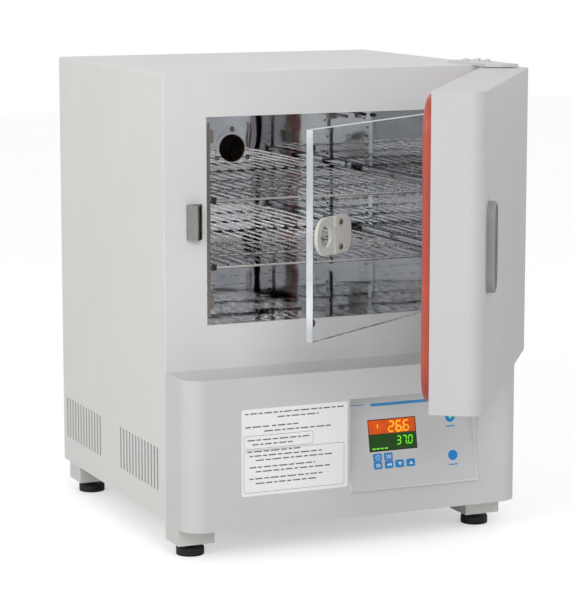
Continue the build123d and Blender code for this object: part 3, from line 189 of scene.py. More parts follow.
# The record's material slots, in the order colour, roughness, and then grain and relief by name
FINISHES = {
    "side_paint": ((0.78, 0.77, 0.745), 0.5, dict(grain=0.0016, relief=0.05, mottle=0.012)),
    "frame_paint": ((0.775, 0.775, 0.77), 0.45, dict(grain=0.0022, relief=0.28, mottle=0.02)),
    "housing_paint": ((0.655, 0.655, 0.645), 0.5, dict(grain=0.0022, relief=0.2, mottle=0.02)),
    "door_paint": ((0.6, 0.605, 0.61), 0.42, dict(
        grain=0.0013, relief=0.3, mottle=0.02, spots=0.35, spot_colour=(0.78, 0.78, 0.79),
    )),
    "hinge_paint": ((0.68, 0.67, 0.64), 0.42, dict(grain=0.0018, relief=0.12)),
    "zinc_steel": ((0.72, 0.71, 0.68), 0.45, dict(metallic=0.25, grain=0.002, relief=0.08)),
    "pin_steel": ((0.34, 0.325, 0.305), 0.26, dict(
        metallic=1.0, grain=0.0006, relief=0.08, mottle=0.06, stretch=(1, 1, 0.06), rough_swing=0.1,
    )),
    "screw_steel": ((0.72, 0.71, 0.7), 0.18, dict(metallic=1.0, grain=0.0008, relief=0.05, mottle=0.08)),
    "brown_screws": ((0.25, 0.15, 0.09), 0.32, dict(
        metallic=0.85, grain=0.0008, relief=0.08, mottle=0.25,
    )),
    "polished_steel": ((0.56, 0.565, 0.58), 0.03, dict(
        metallic=1.0, grain=0.09, relief=0.008, mottle=0.05, rough_swing=0.015,
    )),
    "wire_steel": ((0.7, 0.68, 0.66), 0.2, dict(
        metallic=1.0, grain=0.003, relief=0.05, mottle=0.15, rough_swing=0.08,
    )),
    "heater_sheath": ((0.3, 0.23, 0.17), 0.4, dict(metallic=0.8, grain=0.002, relief=0.1, mottle=0.3)),
    "mineral_wool": ((0.6, 0.53, 0.34), 0.95, dict(grain=0.001, relief=0.8, mottle=0.12)),
    "foot_rubber": ((0.003, 0.0035, 0.004), 0.55, dict(grain=0.0012, relief=0.25, mottle=0.2)),
    "dark_rubber": ((0.03, 0.03, 0.03), 0.7, dict(grain=0.0012, relief=0.3, mottle=0.2)),
    "red_silicone": ((0.5, 0.075, 0.045), 0.42, dict(
        grain=0.0013, relief=0.12, mottle=0.12, spots=0.3, spot_colour=(0.66, 0.2, 0.15), coat=0.15,
    )),
    "panel_silver": ((0.7, 0.7, 0.705), 0.4, dict(
        metallic=0.3, grain=0.0009, relief=0.1, mottle=0.05, spots=0.25, spot_colour=(0.66, 0.67, 0.68),
    )),
    "display_glass": ((0.012, 0.012, 0.012), 0.2, dict(grain=0.01, relief=0.02, coat=0.6)),
    "circuit_board": ((0.03, 0.12, 0.05), 0.4, dict(grain=0.0015, relief=0.15, mottle=0.15)),
    "key_blue": ((0.0, 0.26, 0.7), 0.4, dict(grain=0.0008, relief=0.06, mottle=0.05)),
    "plate_white": ((0.97, 0.975, 0.99), 0.42, dict(grain=0.0015, relief=0.04, mottle=0.015)),
    "iron_core": ((0.1, 0.09, 0.085), 0.55, dict(metallic=0.4, grain=0.002, relief=0.25, mottle=0.2)),
    "black_plastic": ((0.02, 0.02, 0.02), 0.5, dict(grain=0.0009, relief=0.2, mottle=0.15)),
    "white_plastic": ((0.72, 0.71, 0.66), 0.36, dict(grain=0.002, relief=0.05, coat=0.2)),
    "handle_grey": ((0.3, 0.305, 0.31), 0.4, dict(grain=0.0009, relief=0.14, mottle=0.06)),
    "lever_grey": ((0.42, 0.43, 0.44), 0.34, dict(
        metallic=0.35, grain=0.0008, relief=0.12, mottle=0.06,
    )),
}
MATERIALS = {name: finish(name, colour, rough, **look) for name, (colour, rough, look) in FINISHES.items()}
MATERIALS["clear_pane"] = clear("clear_pane")
for node in nodes.values():
    slot_name = node.data.materials[0].name.split(".")[0]
    node.data.materials.clear()
    node.data.materials.append(MATERIALS[slot_name])
screw_dark = finish(
    "screw_dark", (0.3, 0.25, 0.2), 0.25, metallic=1.0, grain=0.0008, relief=0.05, mottle=0.2
)
nodes["small_screws"].data.materials[0] = screw_dark


# Flat figures
class Figures:
    """Raised flat figures on a plane: prisms from outlines given in millimetres."""

    def __init__(self, origin, across, up):
        self.origin, self.across, self.up = Vector(origin), Vector(across), Vector(up)
        self.out = self.across.cross(self.up)
        self.verts, self.faces = [], []

    def place(self, x, y, height):
        return (self.origin + self.across * x + self.up * y + self.out * height) * MM

    def outline(self, points, low, high):
        """A prism over an outline, from one height above the plane to another."""
        start, count = len(self.verts), len(points)
        self.verts += [self.place(x, y, low) for x, y in points]
        self.verts += [self.place(x, y, high) for x, y in points]
        self.faces.append([start + count + i for i in range(count)])
        self.faces.append([start + i for i in reversed(range(count))])
        for i in range(count):
            j = (i + 1) % count
            self.faces.append([start + i, start + j, start + count + j, start + count + i])

    def band(self, outer, inner, low, high):
        """A prism between two outlines that have as many points as each other."""
        start, count = len(self.verts), len(outer)
        for loop, height in ((outer, low), (outer, high), (inner, high), (inner, low)):
            self.verts += [self.place(x, y, height) for x, y in loop]
        for ring in range(4):
            for i in range(count):
                j = (i + 1) % count
                a, b = start + ring * count, start + (ring + 1) % 4 * count
                self.faces.append([a + i, a + j, b + j, b + i])

    def piece(self, name, material, body, slot, bevel=0.0):
        """One object of all the figures, which rides on a body."""
        mesh = bpy.data.meshes.new(name)
        mesh.from_pydata([tuple(v) for v in self.verts], [], self.faces)
        mesh.update()
        obj = bpy.data.objects.new(name, mesh)
        bpy.context.scene.collection.objects.link(obj)
        mesh.materials.append(material)
        if bevel:
            rounding = obj.modifiers.new("edge", "BEVEL")
            rounding.width = bevel * MM
            rounding.segments = 3
            rounding.limit_method = "ANGLE"
        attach(obj, body)
        return obj


def circle(x, y, radius, count=40):
    return [
        (x + radius * math.cos(2 * math.pi * i / count), y + radius * math.sin(2 * math.pi * i / count))
        for i in range(count)
    ]


def rectangle(x0, y0, x1, y1):
    return [(x0, y0), (x1, y0), (x1, y1), (x0, y1)]


def corners(x0, y0, x1, y1, left, right, count):
    """A rectangle whose left and right corners have their own radii."""
    points = []
    for cx, cy, radius, turn in (
        (x1 - right, y0 + right, right, -90), (x1 - right, y1 - right, right, 0),
        (x0 + left, y1 - left, left, 90), (x0 + left, y0 + left, left, 180),
    ):
        for i in range(count + 1):
            angle = math.radians(turn + 90 * i / count)
            points.append((cx + radius * math.cos(angle), cy + radius * math.sin(angle)))
    return points


def rounded(x0, y0, x1, y1, radius, count=6):
    return corners(x0, y0, x1, y1, radius, radius, count)


def dense(loop, step):
    """The same outline with points no further apart than step."""
    points = []
    for (x0, y0), (x1, y1) in zip(loop, loop[1:] + loop[:1]):
        parts = max(1, math.ceil(math.hypot(x1 - x0, y1 - y0) / step))
        points += [(x0 + (x1 - x0) * i / parts, y0 + (y1 - y0) * i / parts) for i in range(parts)]
    return points


# Seven-segment numerals: each sign's bars, and how a bar is cut and leans
SEGMENTS = {"0": "abcdef", "2": "abged", "3": "abgcd", "6": "afgedc", "7": "abc"}
BAR_GAP, BAR_TIP = 0.16, 0.5
LEAN = 0.08


def segment_bar(x0, y0, x1, y1, thick):
    """The six corners of a bar with pointed ends."""
    dx, dy = x1 - x0, y1 - y0
    length = math.hypot(dx, dy)
    ux, uy = dx / length, dy / length
    nx, ny = -uy * thick / 2, ux * thick / 2
    gap = thick * BAR_GAP
    shoulder = gap + thick * BAR_TIP
    return [
        (x0 + ux * gap, y0 + uy * gap),
        (x0 + ux * shoulder - nx, y0 + uy * shoulder - ny),
        (x1 - ux * shoulder - nx, y1 - uy * shoulder - ny),
        (x1 - ux * gap, y1 - uy * gap),
        (x1 - ux * shoulder + nx, y1 - uy * shoulder + ny),
        (x0 + ux * shoulder + nx, y0 + uy * shoulder + ny),
    ]


def digit(figures, sign, x, y, size, low, high):
    """A numeral whose lower left corner is at x, y, of a width, height and bar thickness."""
    wide, tall, thick = size
    half = tall / 2
    ends = {
        "a": (x, y + tall, x + wide, y + tall), "d": (x, y, x + wide, y),
        "g": (x, y + half, x + wide, y + half), "f": (x, y + half, x, y + tall),
        "b": (x + wide, y + half, x + wide, y + tall), "e": (x, y, x, y + half),
        "c": (x + wide, y, x + wide, y + half),
    }
    for segment in SEGMENTS[sign]:
        bar = segment_bar(*ends[segment], thick)
        figures.outline([(px + (py - y) * LEAN, py) for px, py in bar], low, high)


# Control panel: its sloping plane, and the finishes of what lies on it
TILT = math.radians(11)
PANEL = ((-13.5, -296, 76), (1, 0, 0), (0, math.sin(TILT), math.cos(TILT)))
glow_orange = lit("glow_orange", (0.75, 0.09, 0.0), 0.9)
glow_green = lit("glow_green", (0.012, 0.07, 0.004), 0.8)
bright_orange = lit("bright_orange", (1.0, 0.36, 0.02), 1.5)
bright_green = lit("bright_green", (0.2, 1.0, 0.02), 1.1)
lamp_green = lit("lamp_green", (0.25, 0.95, 0.2), 0.9)
sign_white = finish("sign_white", (0.78, 0.82, 0.86), 0.45, grain=0.0006, relief=0.05)
# The panel's bevel edge: a bright pale colour that is painted highlight
bevel_painted_highlight = finish("bevel_painted_highlight", (0.83, 0.88, 0.9), 0.22, metallic=0.3, grain=0.0012, relief=0.04)
panel_print = finish("panel_print", (0.05, 0.3, 0.66), 0.45, grain=0.0006, relief=0.05, mottle=0.1)

# Display: two lit fields behind the panel's face, with the digits on them
FIELD_BACK, FIELD_FACE, DIGIT_FACE = -0.78, -0.7, -0.55
SCREEN_LEFT, SCREEN_RIGHT, SCREEN_CORNER = 34.6, 105.0, 0.6
SCREEN_BASE, SCREEN_SPLIT, SCREEN_TOP = 53.6, 76.2, 95.2
FIELD_GAP = 0.3
UPPER_SIGNS, UPPER_LINE, UPPER_SIZE = (("2", 64.5), ("6", 76.2), ("6", 87.4)), 78.4, (7.2, 13.6, 2.1)
LOWER_SIGNS, LOWER_LINE, LOWER_SIZE = (("3", 75.8), ("7", 84.6), ("0", 93.4)), 60.2, (5.4, 10.8, 1.5)
UPPER_POINT, LOWER_POINT = (85.4, 78.2, 1.0, 16), (92.0, 60.0, 0.8, 16)
STROKE = (47.5, 84, 48.9, 89.6)
UNIT_X, UNIT_Y, UNIT_OUTER, UNIT_INNER = 99.4, 82.6, 0.7, 0.35
DASH_LEFT, DASH_PITCH, DASH_LENGTH, DASH_COUNT = 38.2, 6.2, 4.6, 4
DASH_BASE, DASH_TOP, DASH_CORNER = 55.4, 57.0, 0.3

for name, glow, base, top in (
    ("display_upper_field", glow_orange, SCREEN_SPLIT, SCREEN_TOP),
    ("display_lower_field", glow_green, SCREEN_BASE, SCREEN_SPLIT - FIELD_GAP),
):
    field = Figures(*PANEL)
    field.outline(rounded(SCREEN_LEFT, base, SCREEN_RIGHT, top, SCREEN_CORNER), FIELD_BACK, FIELD_FACE)
    field.piece(name, glow, "cabinet", "display_glass")

upper_digits = Figures(*PANEL)
for sign, x in UPPER_SIGNS:
    digit(upper_digits, sign, x, UPPER_LINE, UPPER_SIZE, FIELD_FACE, DIGIT_FACE)
upper_digits.outline(circle(*UPPER_POINT), FIELD_FACE, DIGIT_FACE)
upper_digits.outline(rectangle(*STROKE), FIELD_FACE, DIGIT_FACE)
upper_digits.band(
    circle(UNIT_X, UNIT_Y, UNIT_OUTER, 14), circle(UNIT_X, UNIT_Y, UNIT_INNER, 14), FIELD_FACE, DIGIT_FACE
)
upper_digits.piece("display_upper_digits", bright_orange, "cabinet", "display_glass")

lower_digits = Figures(*PANEL)
for sign, x in LOWER_SIGNS:
    digit(lower_digits, sign, x, LOWER_LINE, LOWER_SIZE, FIELD_FACE, DIGIT_FACE)
lower_digits.outline(circle(*LOWER_POINT), FIELD_FACE, DIGIT_FACE)
for i in range(DASH_COUNT):
    left = DASH_LEFT + i * DASH_PITCH
    dash = rounded(left, DASH_BASE, left + DASH_LENGTH, DASH_TOP, DASH_CORNER)
    lower_digits.outline(dash, FIELD_FACE, DIGIT_FACE)
lower_digits.piece("display_lower_digits", bright_green, "cabinet", "display_glass")

# Keys: where each one stands, and its white sign
KEYS = {
    "mode": (44.3, 33.6), "back": (61, 33.6), "down": (77.2, 33.6),
    "up": (94.1, 33.6), "clock": (44.5, 44.5), "enter": (61, 44.5),
}
KEY_FACE, SIGN_FACE = 1.18, 1.28
ARROW_HALF, ARROW_FOOT, ARROW_TIP = 3.2, 2.1, 2.5
BACK_TIP, BACK_FOOT, BACK_HALF, BACK_STEP = 4, 0.2, 2.4, 3.6
CLOCK_OUTER, CLOCK_INNER = 3.4, 2.7
HAND_HALF, LONG_HAND, SHORT_HAND = 0.25, 2, 1.5
POST_HALF, POST_REACH, POST_STEP = 0.6, 2.8, 2.6
LINE_HALF, LINE_REACH, LINE_STEP = 0.45, 3.4, 1.7
SIGN_CORNER = 0.3


def sign_outlines(key, x, y):
    """The outlines of a key's sign, centred at x, y: arrows, a clock's hands, or plain bars."""
    if key == "down":
        return [[(x - ARROW_HALF, y + ARROW_FOOT), (x, y - ARROW_TIP), (x + ARROW_HALF, y + ARROW_FOOT)]]
    if key == "up":
        return [[(x - ARROW_HALF, y - ARROW_FOOT), (x + ARROW_HALF, y - ARROW_FOOT), (x, y + ARROW_TIP)]]
    if key == "back":
        return [
            [
                (x - BACK_TIP + step, y), (x - BACK_FOOT + step, y - BACK_HALF),
                (x - BACK_FOOT + step, y + BACK_HALF),
            ]
            for step in (0, BACK_STEP)
        ]
    if key == "clock":
        return [
            rectangle(x - HAND_HALF, y, x + HAND_HALF, y + LONG_HAND),
            rectangle(x, y - HAND_HALF, x + SHORT_HAND, y + HAND_HALF),
        ]
    if key == "enter":
        return [
            rounded(x - POST_HALF + step, y - POST_REACH, x + POST_HALF + step, y + POST_REACH, SIGN_CORNER)
            for step in (-POST_STEP, 0, POST_STEP)
        ]
    return [
        rounded(x - LINE_REACH, y - LINE_HALF + step, x + LINE_REACH, y + LINE_HALF + step, SIGN_CORNER)
        for step in (-LINE_STEP, 0, LINE_STEP)
    ]


for key, (x, y) in KEYS.items():
    signs = Figures(*PANEL)
    if key == "clock":
        signs.band(circle(x, y, CLOCK_OUTER), circle(x, y, CLOCK_INNER), KEY_FACE, SIGN_FACE)
    for shape in sign_outlines(key, x, y):
        signs.outline(shape, KEY_FACE, SIGN_FACE)
    signs.piece(key + "_key_sign", sign_white, key + "_key", "plate_white")

# Buttons, print, and the panel's right and bottom edge strip, coloured bright as painted highlight on its
# lit bevel
BUTTON_X, POWER_Y, LAMP_Y = 159.3, 91, 38
POWER_LAMP, POWER_LAMP_BACK, POWER_LAMP_FACE = 2.2, 1.45, 1.62
RING_OUTER, RING_INNER, RING_LOW, RING_HIGH = 8.3, 7.25, -0.05, 0.12
TRIM_LEFT, TRIM_RIGHT, TRIM_INSIDE = 0.5, 195.8, 194.1
TRIM_BASE, TRIM_TOP, TRIM_ABOVE_BASE = 0.3, 126.5, 2.0
TRIM_LOW, TRIM_HIGH = -0.25, 0.08
PRINT_LOW, PRINT_HIGH = -0.03, 0.06
SHORT_RULE = (1.0, 117.2, 30, 118.3)
HEADING, HEADING_CORNER = (40, 114.4, 152, 118.4), 1
WORD_LEFT, WORD_RIGHT, WORD_CORNER = 152.5, 166, 0.6
WORD_FOOT, WORD_HEAD = 13.6, 11.9

lamp = Figures(*PANEL)
lamp.outline(circle(BUTTON_X, POWER_Y, POWER_LAMP, 24), POWER_LAMP_BACK, POWER_LAMP_FACE)
lamp.piece("power_lamp", lamp_green, "power_button", "display_glass")

# The panel's edge, with painted highlight: a bright strip along the right and bottom edges, where the bevel
# catches light
trim = Figures(*PANEL)
trim.outline(rectangle(TRIM_LEFT, TRIM_BASE, TRIM_RIGHT, TRIM_ABOVE_BASE), TRIM_LOW, TRIM_HIGH)
trim.outline(rectangle(TRIM_INSIDE, TRIM_ABOVE_BASE, TRIM_RIGHT, TRIM_TOP), TRIM_LOW, TRIM_HIGH)
trim.piece("panel_edge_bevel_highlight", bevel_painted_highlight, "cabinet", "panel_silver")

rings = Figures(*PANEL)
for height in (POWER_Y, LAMP_Y):
    rings.band(
        circle(BUTTON_X, height, RING_OUTER), circle(BUTTON_X, height, RING_INNER), RING_LOW, RING_HIGH
    )
rings.piece("button_rings", sign_white, "cabinet", "panel_silver")

marks = Figures(*PANEL)
marks.outline(rectangle(*SHORT_RULE), PRINT_LOW, PRINT_HIGH)
marks.outline(rounded(*HEADING, HEADING_CORNER), PRINT_LOW, PRINT_HIGH)
for height in (POWER_Y, LAMP_Y):
    word = rounded(WORD_LEFT, height - WORD_FOOT, WORD_RIGHT, height - WORD_HEAD, WORD_CORNER)
    marks.outline(word, PRINT_LOW, PRINT_HIGH)
marks.piece("panel_print_bars", panel_print, "cabinet", "panel_silver")

# Notes plate: bars for its lines of words (left end, height, length), and two outlines round them
NOTES = ((-172, -293.4, 85), (1, 0, 0), (0, 0, 1))
NOTES_LINES = (
    (5, 111, 54), (61, 111, 88), (52, 104.5, 60),
    (5, 93, 36), (44, 93, 38), (32, 86.5, 98),
    (8, 75, 92), (15, 69, 62),
    (8, 59.5, 80), (11, 53.5, 108), (20, 47.5, 112),
    (11, 38, 96), (20, 32, 112), (11, 22.5, 110), (20, 16, 92),
)
NOTES_RIGHT = 150
NOTES_LOW, NOTES_HIGH = -0.02, 0.03
BAR_HEIGHT, BAR_CORNER, WORD_GAP = 1.7, 0.5, 2.2
SHORTEST_WORD, LONGEST_WORD, LEAST_DRAWN = 5, 13, 1.5
BOX_LEFT, BOX_CORNER, BOX_LINE = 3, 3, 0.5
NOTES_BOXES = ((64, 82, 104), (4.5, 62.5, NOTES_RIGHT))
print_grey = finish(
    "print_grey", (0.14, 0.14, 0.145), 0.55, grain=0.0005, relief=0.05, mottle=0.3, cloud=160
)

notes = Figures(*NOTES)
for index, (left, height, width) in enumerate(NOTES_LINES):
    line_end = min(left + width, NOTES_RIGHT)
    x, word = left, 0
    while x < line_end:
        length = SHORTEST_WORD + (index * 7 + word * 5) % (LONGEST_WORD + 1 - SHORTEST_WORD)
        end = min(x + length, line_end)
        if end - x > LEAST_DRAWN:
            bar = rounded(x, height, end, height + BAR_HEIGHT, BAR_CORNER, 3)
            notes.outline(bar, NOTES_LOW, NOTES_HIGH)
        x += length + WORD_GAP
        word += 1
for low, high, right in NOTES_BOXES:
    outside = rounded(BOX_LEFT, low, right, high, BOX_CORNER)
    inside = rounded(
        BOX_LEFT + BOX_LINE, low + BOX_LINE, right - BOX_LINE, high - BOX_LINE, BOX_CORNER - BOX_LINE
    )
    notes.band(outside, inside, NOTES_LOW, NOTES_HIGH)
notes.piece("notes_plate_bars", print_grey, "cabinet", "plate_white")

# Inner door: its hinge in the cabinet's coordinates, and the angle that it stands open by
INNER_HINGE, INNER_ANGLE = (182, -2), math.radians(33.8)
FRONT = -215
ACROSS = (math.cos(INNER_ANGLE), math.sin(INNER_ANGLE), 0)
DEPTH = (-math.sin(INNER_ANGLE), math.cos(INNER_ANGLE), 0)
UP = (0, 0, 1)


def inner_point(x, y, z):
    """A point of the closed inner door, where it stands part open."""
    dx, dy = x - INNER_HINGE[0], y - INNER_HINGE[1]
    c, s = math.cos(INNER_ANGLE), math.sin(INNER_ANGLE)
    return (INNER_HINGE[0] + dx * c - dy * s, INNER_HINGE[1] + dx * s + dy * c + FRONT, z)


# The pull: a ring with an oval finger hole, a base, and the knuckles between them
PULL_Z, PULL_HALF, PULL_AXIS = 445, 24.75, -141
PULL_LOW, PULL_HIGH = PULL_Z - PULL_HALF, PULL_Z + PULL_HALF
RING_LEFT, RING_RIGHT, RING_CORNER = -184.5, -144.3, 22
RING_BACK, RING_FACE = -0.7, 4.3
HOLE_X, HOLE_HALF_WIDTH, HOLE_HALF_HEIGHT, HOLE_STRETCH = -163, 12.6, 14.6, 1.17
BASE_LEFT, BASE_RIGHT, BASE_CORNER = -137.5, -102, 16
BASE_BACK, BASE_FACE = -1, 5
HINGE_CORNER, PULL_BEVEL = 1.2, 0.9
OUTLINE_STEP, OUTLINE_POINTS = 1.5, 14
KNUCKLE, KNUCKLE_GAP = 8.5, 0.3
KNUCKLE_Y, KNUCKLE_RADIUS, KNUCKLE_REACH = -2.3, 3, 4.2
KNUCKLE_FRONT, KNUCKLE_BACK, KNUCKLE_BEVEL = -4.8, 0.5, 0.3
white = MATERIALS["white_plastic"]


def knuckles(name, spans, side, body):
    """Round knuckles on the pull's pin, each with a web to one side of it."""
    figures = Figures(inner_point(0, 0, 0), ACROSS, DEPTH)
    left, right = sorted((PULL_AXIS, PULL_AXIS + side * KNUCKLE_REACH))
    for low, high in spans:
        figures.outline(circle(PULL_AXIS, KNUCKLE_Y, KNUCKLE_RADIUS, 24), low, high)
        figures.outline(rectangle(left, KNUCKLE_FRONT, right, KNUCKLE_BACK), low, high)
    figures.piece(name, white, body, "white_plastic", KNUCKLE_BEVEL)


pull = Figures(inner_point(0, 0, 0), ACROSS, UP)
outer_loop = dense(
    corners(RING_LEFT, PULL_LOW, RING_RIGHT, PULL_HIGH, RING_CORNER, HINGE_CORNER, OUTLINE_POINTS),
    OUTLINE_STEP,
)
inner_loop = []
for x, z in outer_loop:
    angle = math.atan2((z - PULL_Z) / HOLE_STRETCH, x - HOLE_X)
    inner_loop.append(
        (HOLE_X + HOLE_HALF_WIDTH * math.cos(angle), PULL_Z + HOLE_HALF_HEIGHT * math.sin(angle))
    )
pull.band(outer_loop, inner_loop, RING_BACK, RING_FACE)
ring_piece = pull.piece("pull_ring_moulding", white, "pull_ring", "white_plastic", PULL_BEVEL)
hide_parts("pull_ring")

base = Figures(inner_point(0, 0, 0), ACROSS, UP)
base.outline(
    corners(BASE_LEFT, PULL_LOW, BASE_RIGHT, PULL_HIGH, HINGE_CORNER, BASE_CORNER, OUTLINE_POINTS),
    BASE_BACK, BASE_FACE,
)
base_piece = base.piece("pull_base_moulding", white, "inner_door", "white_plastic", PULL_BEVEL)
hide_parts("pull_base")

RING_SPAN = (PULL_Z - KNUCKLE, PULL_Z + KNUCKLE)
BASE_SPANS = (
    (PULL_LOW, PULL_Z - KNUCKLE - KNUCKLE_GAP), (PULL_Z + KNUCKLE + KNUCKLE_GAP, PULL_HIGH),
)
knuckles("pull_ring_knuckle", [RING_SPAN], -1, "pull_ring")
knuckles("pull_base_knuckles", BASE_SPANS, 1, "inner_door")

# The pane's free edge and top edge: glowing sheets, a painted highlight for the light that these edges
# catch
PANE_LEFT, PANE_TOP = -186.5, 583
EDGE_FRONT, EDGE_BACK = 1.2, 10.8
EDGE_LOW, EDGE_HIGH, EDGE_SKIN = 311.3, 582.7, (-0.1, -0.02)
TOP_LEFT, TOP_RIGHT, TOP_SKIN = -186.2, 186.6, (0.02, 0.1)
# Painted highlight: both edge sheets glow white, unevenly on the free edge, where the pane's edges catch
# light
painted_edge_highlight = lit("pane_edge_painted_highlight", (0.88, 0.9, 0.92), 0.5, (0.4, 0.42, 0.45), 13, 0.3)
painted_top_highlight = lit("pane_top_painted_highlight", (0.7, 0.72, 0.74), 0.2, (0.6, 0.62, 0.64))

edge = Figures(inner_point(PANE_LEFT, 0, 0), DEPTH, UP)
edge.outline(rectangle(EDGE_FRONT, EDGE_LOW, EDGE_BACK, EDGE_HIGH), *EDGE_SKIN)
edge.piece("pane_free_edge_highlight", painted_edge_highlight, "inner_door", "clear_pane")
edge_top = Figures(inner_point(0, 0, PANE_TOP), ACROSS, DEPTH)
edge_top.outline(rectangle(TOP_LEFT, EDGE_FRONT, TOP_RIGHT, EDGE_BACK), *TOP_SKIN)
edge_top.piece("pane_top_edge_highlight", painted_top_highlight, "inner_door", "clear_pane")

# Chamber: the lining of the port, and the dark sleeves on the shelves' cross rods
PORT = ((0, 155, 506), (1, 0, 0), (0, 0, 1))
LINING_OUTER, LINING_INNER = 20.97, 20.6
LINING_END, LINING_MOUTH = -44, -1
SHELF_LEVELS = (("upper_shelf", 470), ("lower_shelf", 379))
SLEEVE_PLACES = (-185, 145)
SLEEVE_START, SLEEVE_END = 164.2, 170.8
SLEEVE_OUTER, SLEEVE_INNER = 3.56, 3.4
bore_brown = finish(
    "bore_brown", (0.5, 0.34, 0.24), 0.28, metallic=0.95, grain=0.004, relief=0.05, mottle=0.35
)

lining = Figures(*PORT)
lining.band(circle(0, 0, LINING_OUTER, 64), circle(0, 0, LINING_INNER, 64), LINING_END, LINING_MOUTH)
lining.piece("port_lining", bore_brown, "cabinet", "polished_steel")
for shelf, level in SHELF_LEVELS:
    sleeves = Figures((0, 0, level), (0, 1, 0), (0, 0, 1))
    for y in SLEEVE_PLACES:
        for side in (-1, 1):
            start, end = sorted((side * SLEEVE_START, side * SLEEVE_END))
            sleeves.band(circle(y, 0, SLEEVE_OUTER, 28), circle(y, 0, SLEEVE_INNER, 28), start, end)
    sleeves.piece(shelf + "_sleeves", MATERIALS["black_plastic"], shelf, "black_plastic")

# Studio, in metres
FLOOR_SIZE = 14
FLOOR_DARK, FLOOR_PALE = (0.79, 0.79, 0.79), (0.81, 0.81, 0.81)
FLOOR_GLOW = 0.46
WORLD_COLOUR, WORLD_LIGHT = (0.96, 0.98, 1.0, 1), 0.62
WHITE = (1, 1, 1, 1)
LAMP_TARGET = (0, 0, 0.35)
CARD_BLACK = (0.012, 0.014, 0.02, 1)


def either(tree, first, second):
    """The larger of two values: 1 where the ray is of either kind."""
    node = tree.nodes.new("ShaderNodeMath")
    node.operation = "MAXIMUM"
    tree.links.new(first, node.inputs[0])
    tree.links.new(second, node.inputs[1])
    return node.outputs[0]


def mix_shaders(tree, factor, first, second):
    node = tree.nodes.new("ShaderNodeMixShader")
    tree.links.new(factor, node.inputs[0])
    tree.links.new(first, node.inputs[1])
    tree.links.new(second, node.inputs[2])
    return node.outputs[0]


def pale_floor():
    """A pale floor that keeps shadows, and looks white to the camera and through the pane."""
    bpy.ops.mesh.primitive_plane_add(size=FLOOR_SIZE, location=(0, 0, 0))
    floor = bpy.context.object
    floor.name = "floor"
    mat, tree, shader = new_material("floor_pale")
    clouds = noise(tree, coordinates(tree), 3, 3)
    tree.links.new(blend_colours(tree, clouds, FLOOR_DARK, FLOOR_PALE), shader.inputs["Base Color"])
    shader.inputs["Roughness"].default_value = 0.8
    shader.inputs["Specular IOR Level"].default_value = DULL
    ray = tree.nodes.new("ShaderNodeLightPath")
    glow = tree.nodes.new("ShaderNodeEmission")
    glow.inputs["Color"].default_value = WHITE
    glow.inputs["Strength"].default_value = FLOOR_GLOW
    nothing = tree.nodes.new("ShaderNodeEmission")
    nothing.inputs["Strength"].default_value = 0.0
    seen = either(tree, ray.outputs["Is Camera Ray"], ray.outputs["Is Transmission Ray"])
    both = tree.nodes.new("ShaderNodeAddShader")
    tree.links.new(shader.outputs[0], both.inputs[0])
    tree.links.new(mix_shaders(tree, seen, nothing.outputs[0], glow.outputs[0]), both.inputs[1])
    tree.links.new(both.outputs[0], tree.nodes["Material Output"].inputs["Surface"])
    floor.data.materials.append(mat)
    floor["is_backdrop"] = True


def studio_world():
    """Soft even light, and a white backdrop for the camera, for reflections and through the pane."""
    world = bpy.data.worlds.new("studio")
    bpy.context.scene.world = world
    world.use_nodes = True
    tree = world.node_tree
    light = tree.nodes["Background"]
    light.inputs["Color"].default_value = WORLD_COLOUR
    light.inputs["Strength"].default_value = WORLD_LIGHT
    backdrop = tree.nodes.new("ShaderNodeBackground")
    backdrop.inputs["Color"].default_value = WHITE
    backdrop.inputs["Strength"].default_value = 1.0
    ray = tree.nodes.new("ShaderNodeLightPath")
    seen = either(tree, ray.outputs["Is Camera Ray"], ray.outputs["Is Glossy Ray"])
    seen = either(tree, seen, ray.outputs["Is Transmission Ray"])
    surface = mix_shaders(tree, seen, light.outputs[0], backdrop.outputs[0])
    tree.links.new(surface, tree.nodes["World Output"].inputs["Surface"])


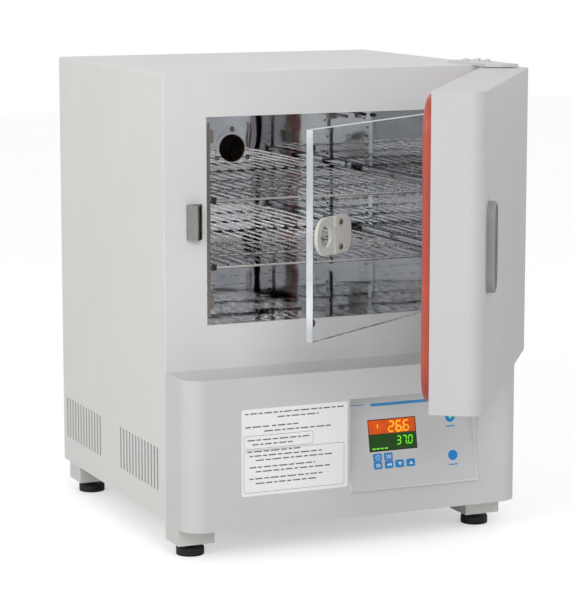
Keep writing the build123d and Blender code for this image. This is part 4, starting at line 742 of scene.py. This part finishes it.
def soft_lamp(name, place, size, power, colour=(1, 1, 1)):
    """A rectangular lamp that faces the object."""
    data = bpy.data.lights.new(name, "AREA")
    data.shape = "RECTANGLE"
    data.size, data.size_y = size
    data.energy = power
    data.color = colour
    lamp_object = bpy.data.objects.new(name, data)
    bpy.context.scene.collection.objects.link(lamp_object)
    lamp_object.location = place
    aim = Vector(LAMP_TARGET) - Vector(place)
    lamp_object.rotation_mode = "QUATERNION"
    lamp_object.rotation_quaternion = aim.to_track_quat("-Z", "Y")


def dark_card(name, place, size):
    """A black card that only reflections see, for the contrast in the polished chamber."""
    bpy.ops.mesh.primitive_plane_add(size=1, location=place)
    card = bpy.context.object
    card.name = name
    card.scale = (*size, 1)
    card.rotation_euler = (math.radians(90), 0, 0)
    mat, tree, shader = new_material(name)
    shader.inputs["Base Color"].default_value = CARD_BLACK
    shader.inputs["Roughness"].default_value = 1.0
    shader.inputs["Specular IOR Level"].default_value = 0.0
    card.data.materials.append(mat)
    card.visible_camera = False
    card.visible_diffuse = False
    card.visible_shadow = False
    card.visible_transmission = False
    card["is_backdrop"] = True


pale_floor()
studio_world()
soft_lamp("left_softbox", (-2.6, -1.6, 1.7), (1.6, 1.6), 26, (1, 0.985, 0.96))
soft_lamp("front_softbox", (-0.6, -3.4, 2.2), (1.6, 1.2), 24)
dark_card("dark_card_low", (0.2, -2.6, 0.16), (2.6, 0.34))
dark_card("dark_card_tall", (0.75, -2.4, 1.0), (0.9, 1.5))
dark_card("dark_card_thin", (-0.15, -2.5, 1.2), (0.3, 1.1))
dark_card("dark_card_high", (0.0, -2.2, 2.3), (3.0, 1.0))

# Camera, solved from the photograph's box edges: place in metres, angles in degrees, lens in millimetres
CAMERA_PLACE = (-1.37805, -3.1884, 0.84585)
CAMERA_PITCH, CAMERA_TURN = 81.15, -23.7
SENSOR_WIDTH, LENS = 36, 147.44
NEAREST, FURTHEST = 0.05, 60

camera_data = bpy.data.cameras.new("camera")
camera_data.sensor_width = SENSOR_WIDTH
camera_data.lens = LENS
camera_data.clip_start = NEAREST
camera_data.clip_end = FURTHEST
camera = bpy.data.objects.new("camera", camera_data)
bpy.context.scene.collection.objects.link(camera)
camera.location = CAMERA_PLACE
camera.rotation_euler = (math.radians(CAMERA_PITCH), 0, math.radians(CAMERA_TURN))
bpy.context.scene.camera = camera
bpy.context.scene.view_settings.view_transform = "Standard"

low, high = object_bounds()
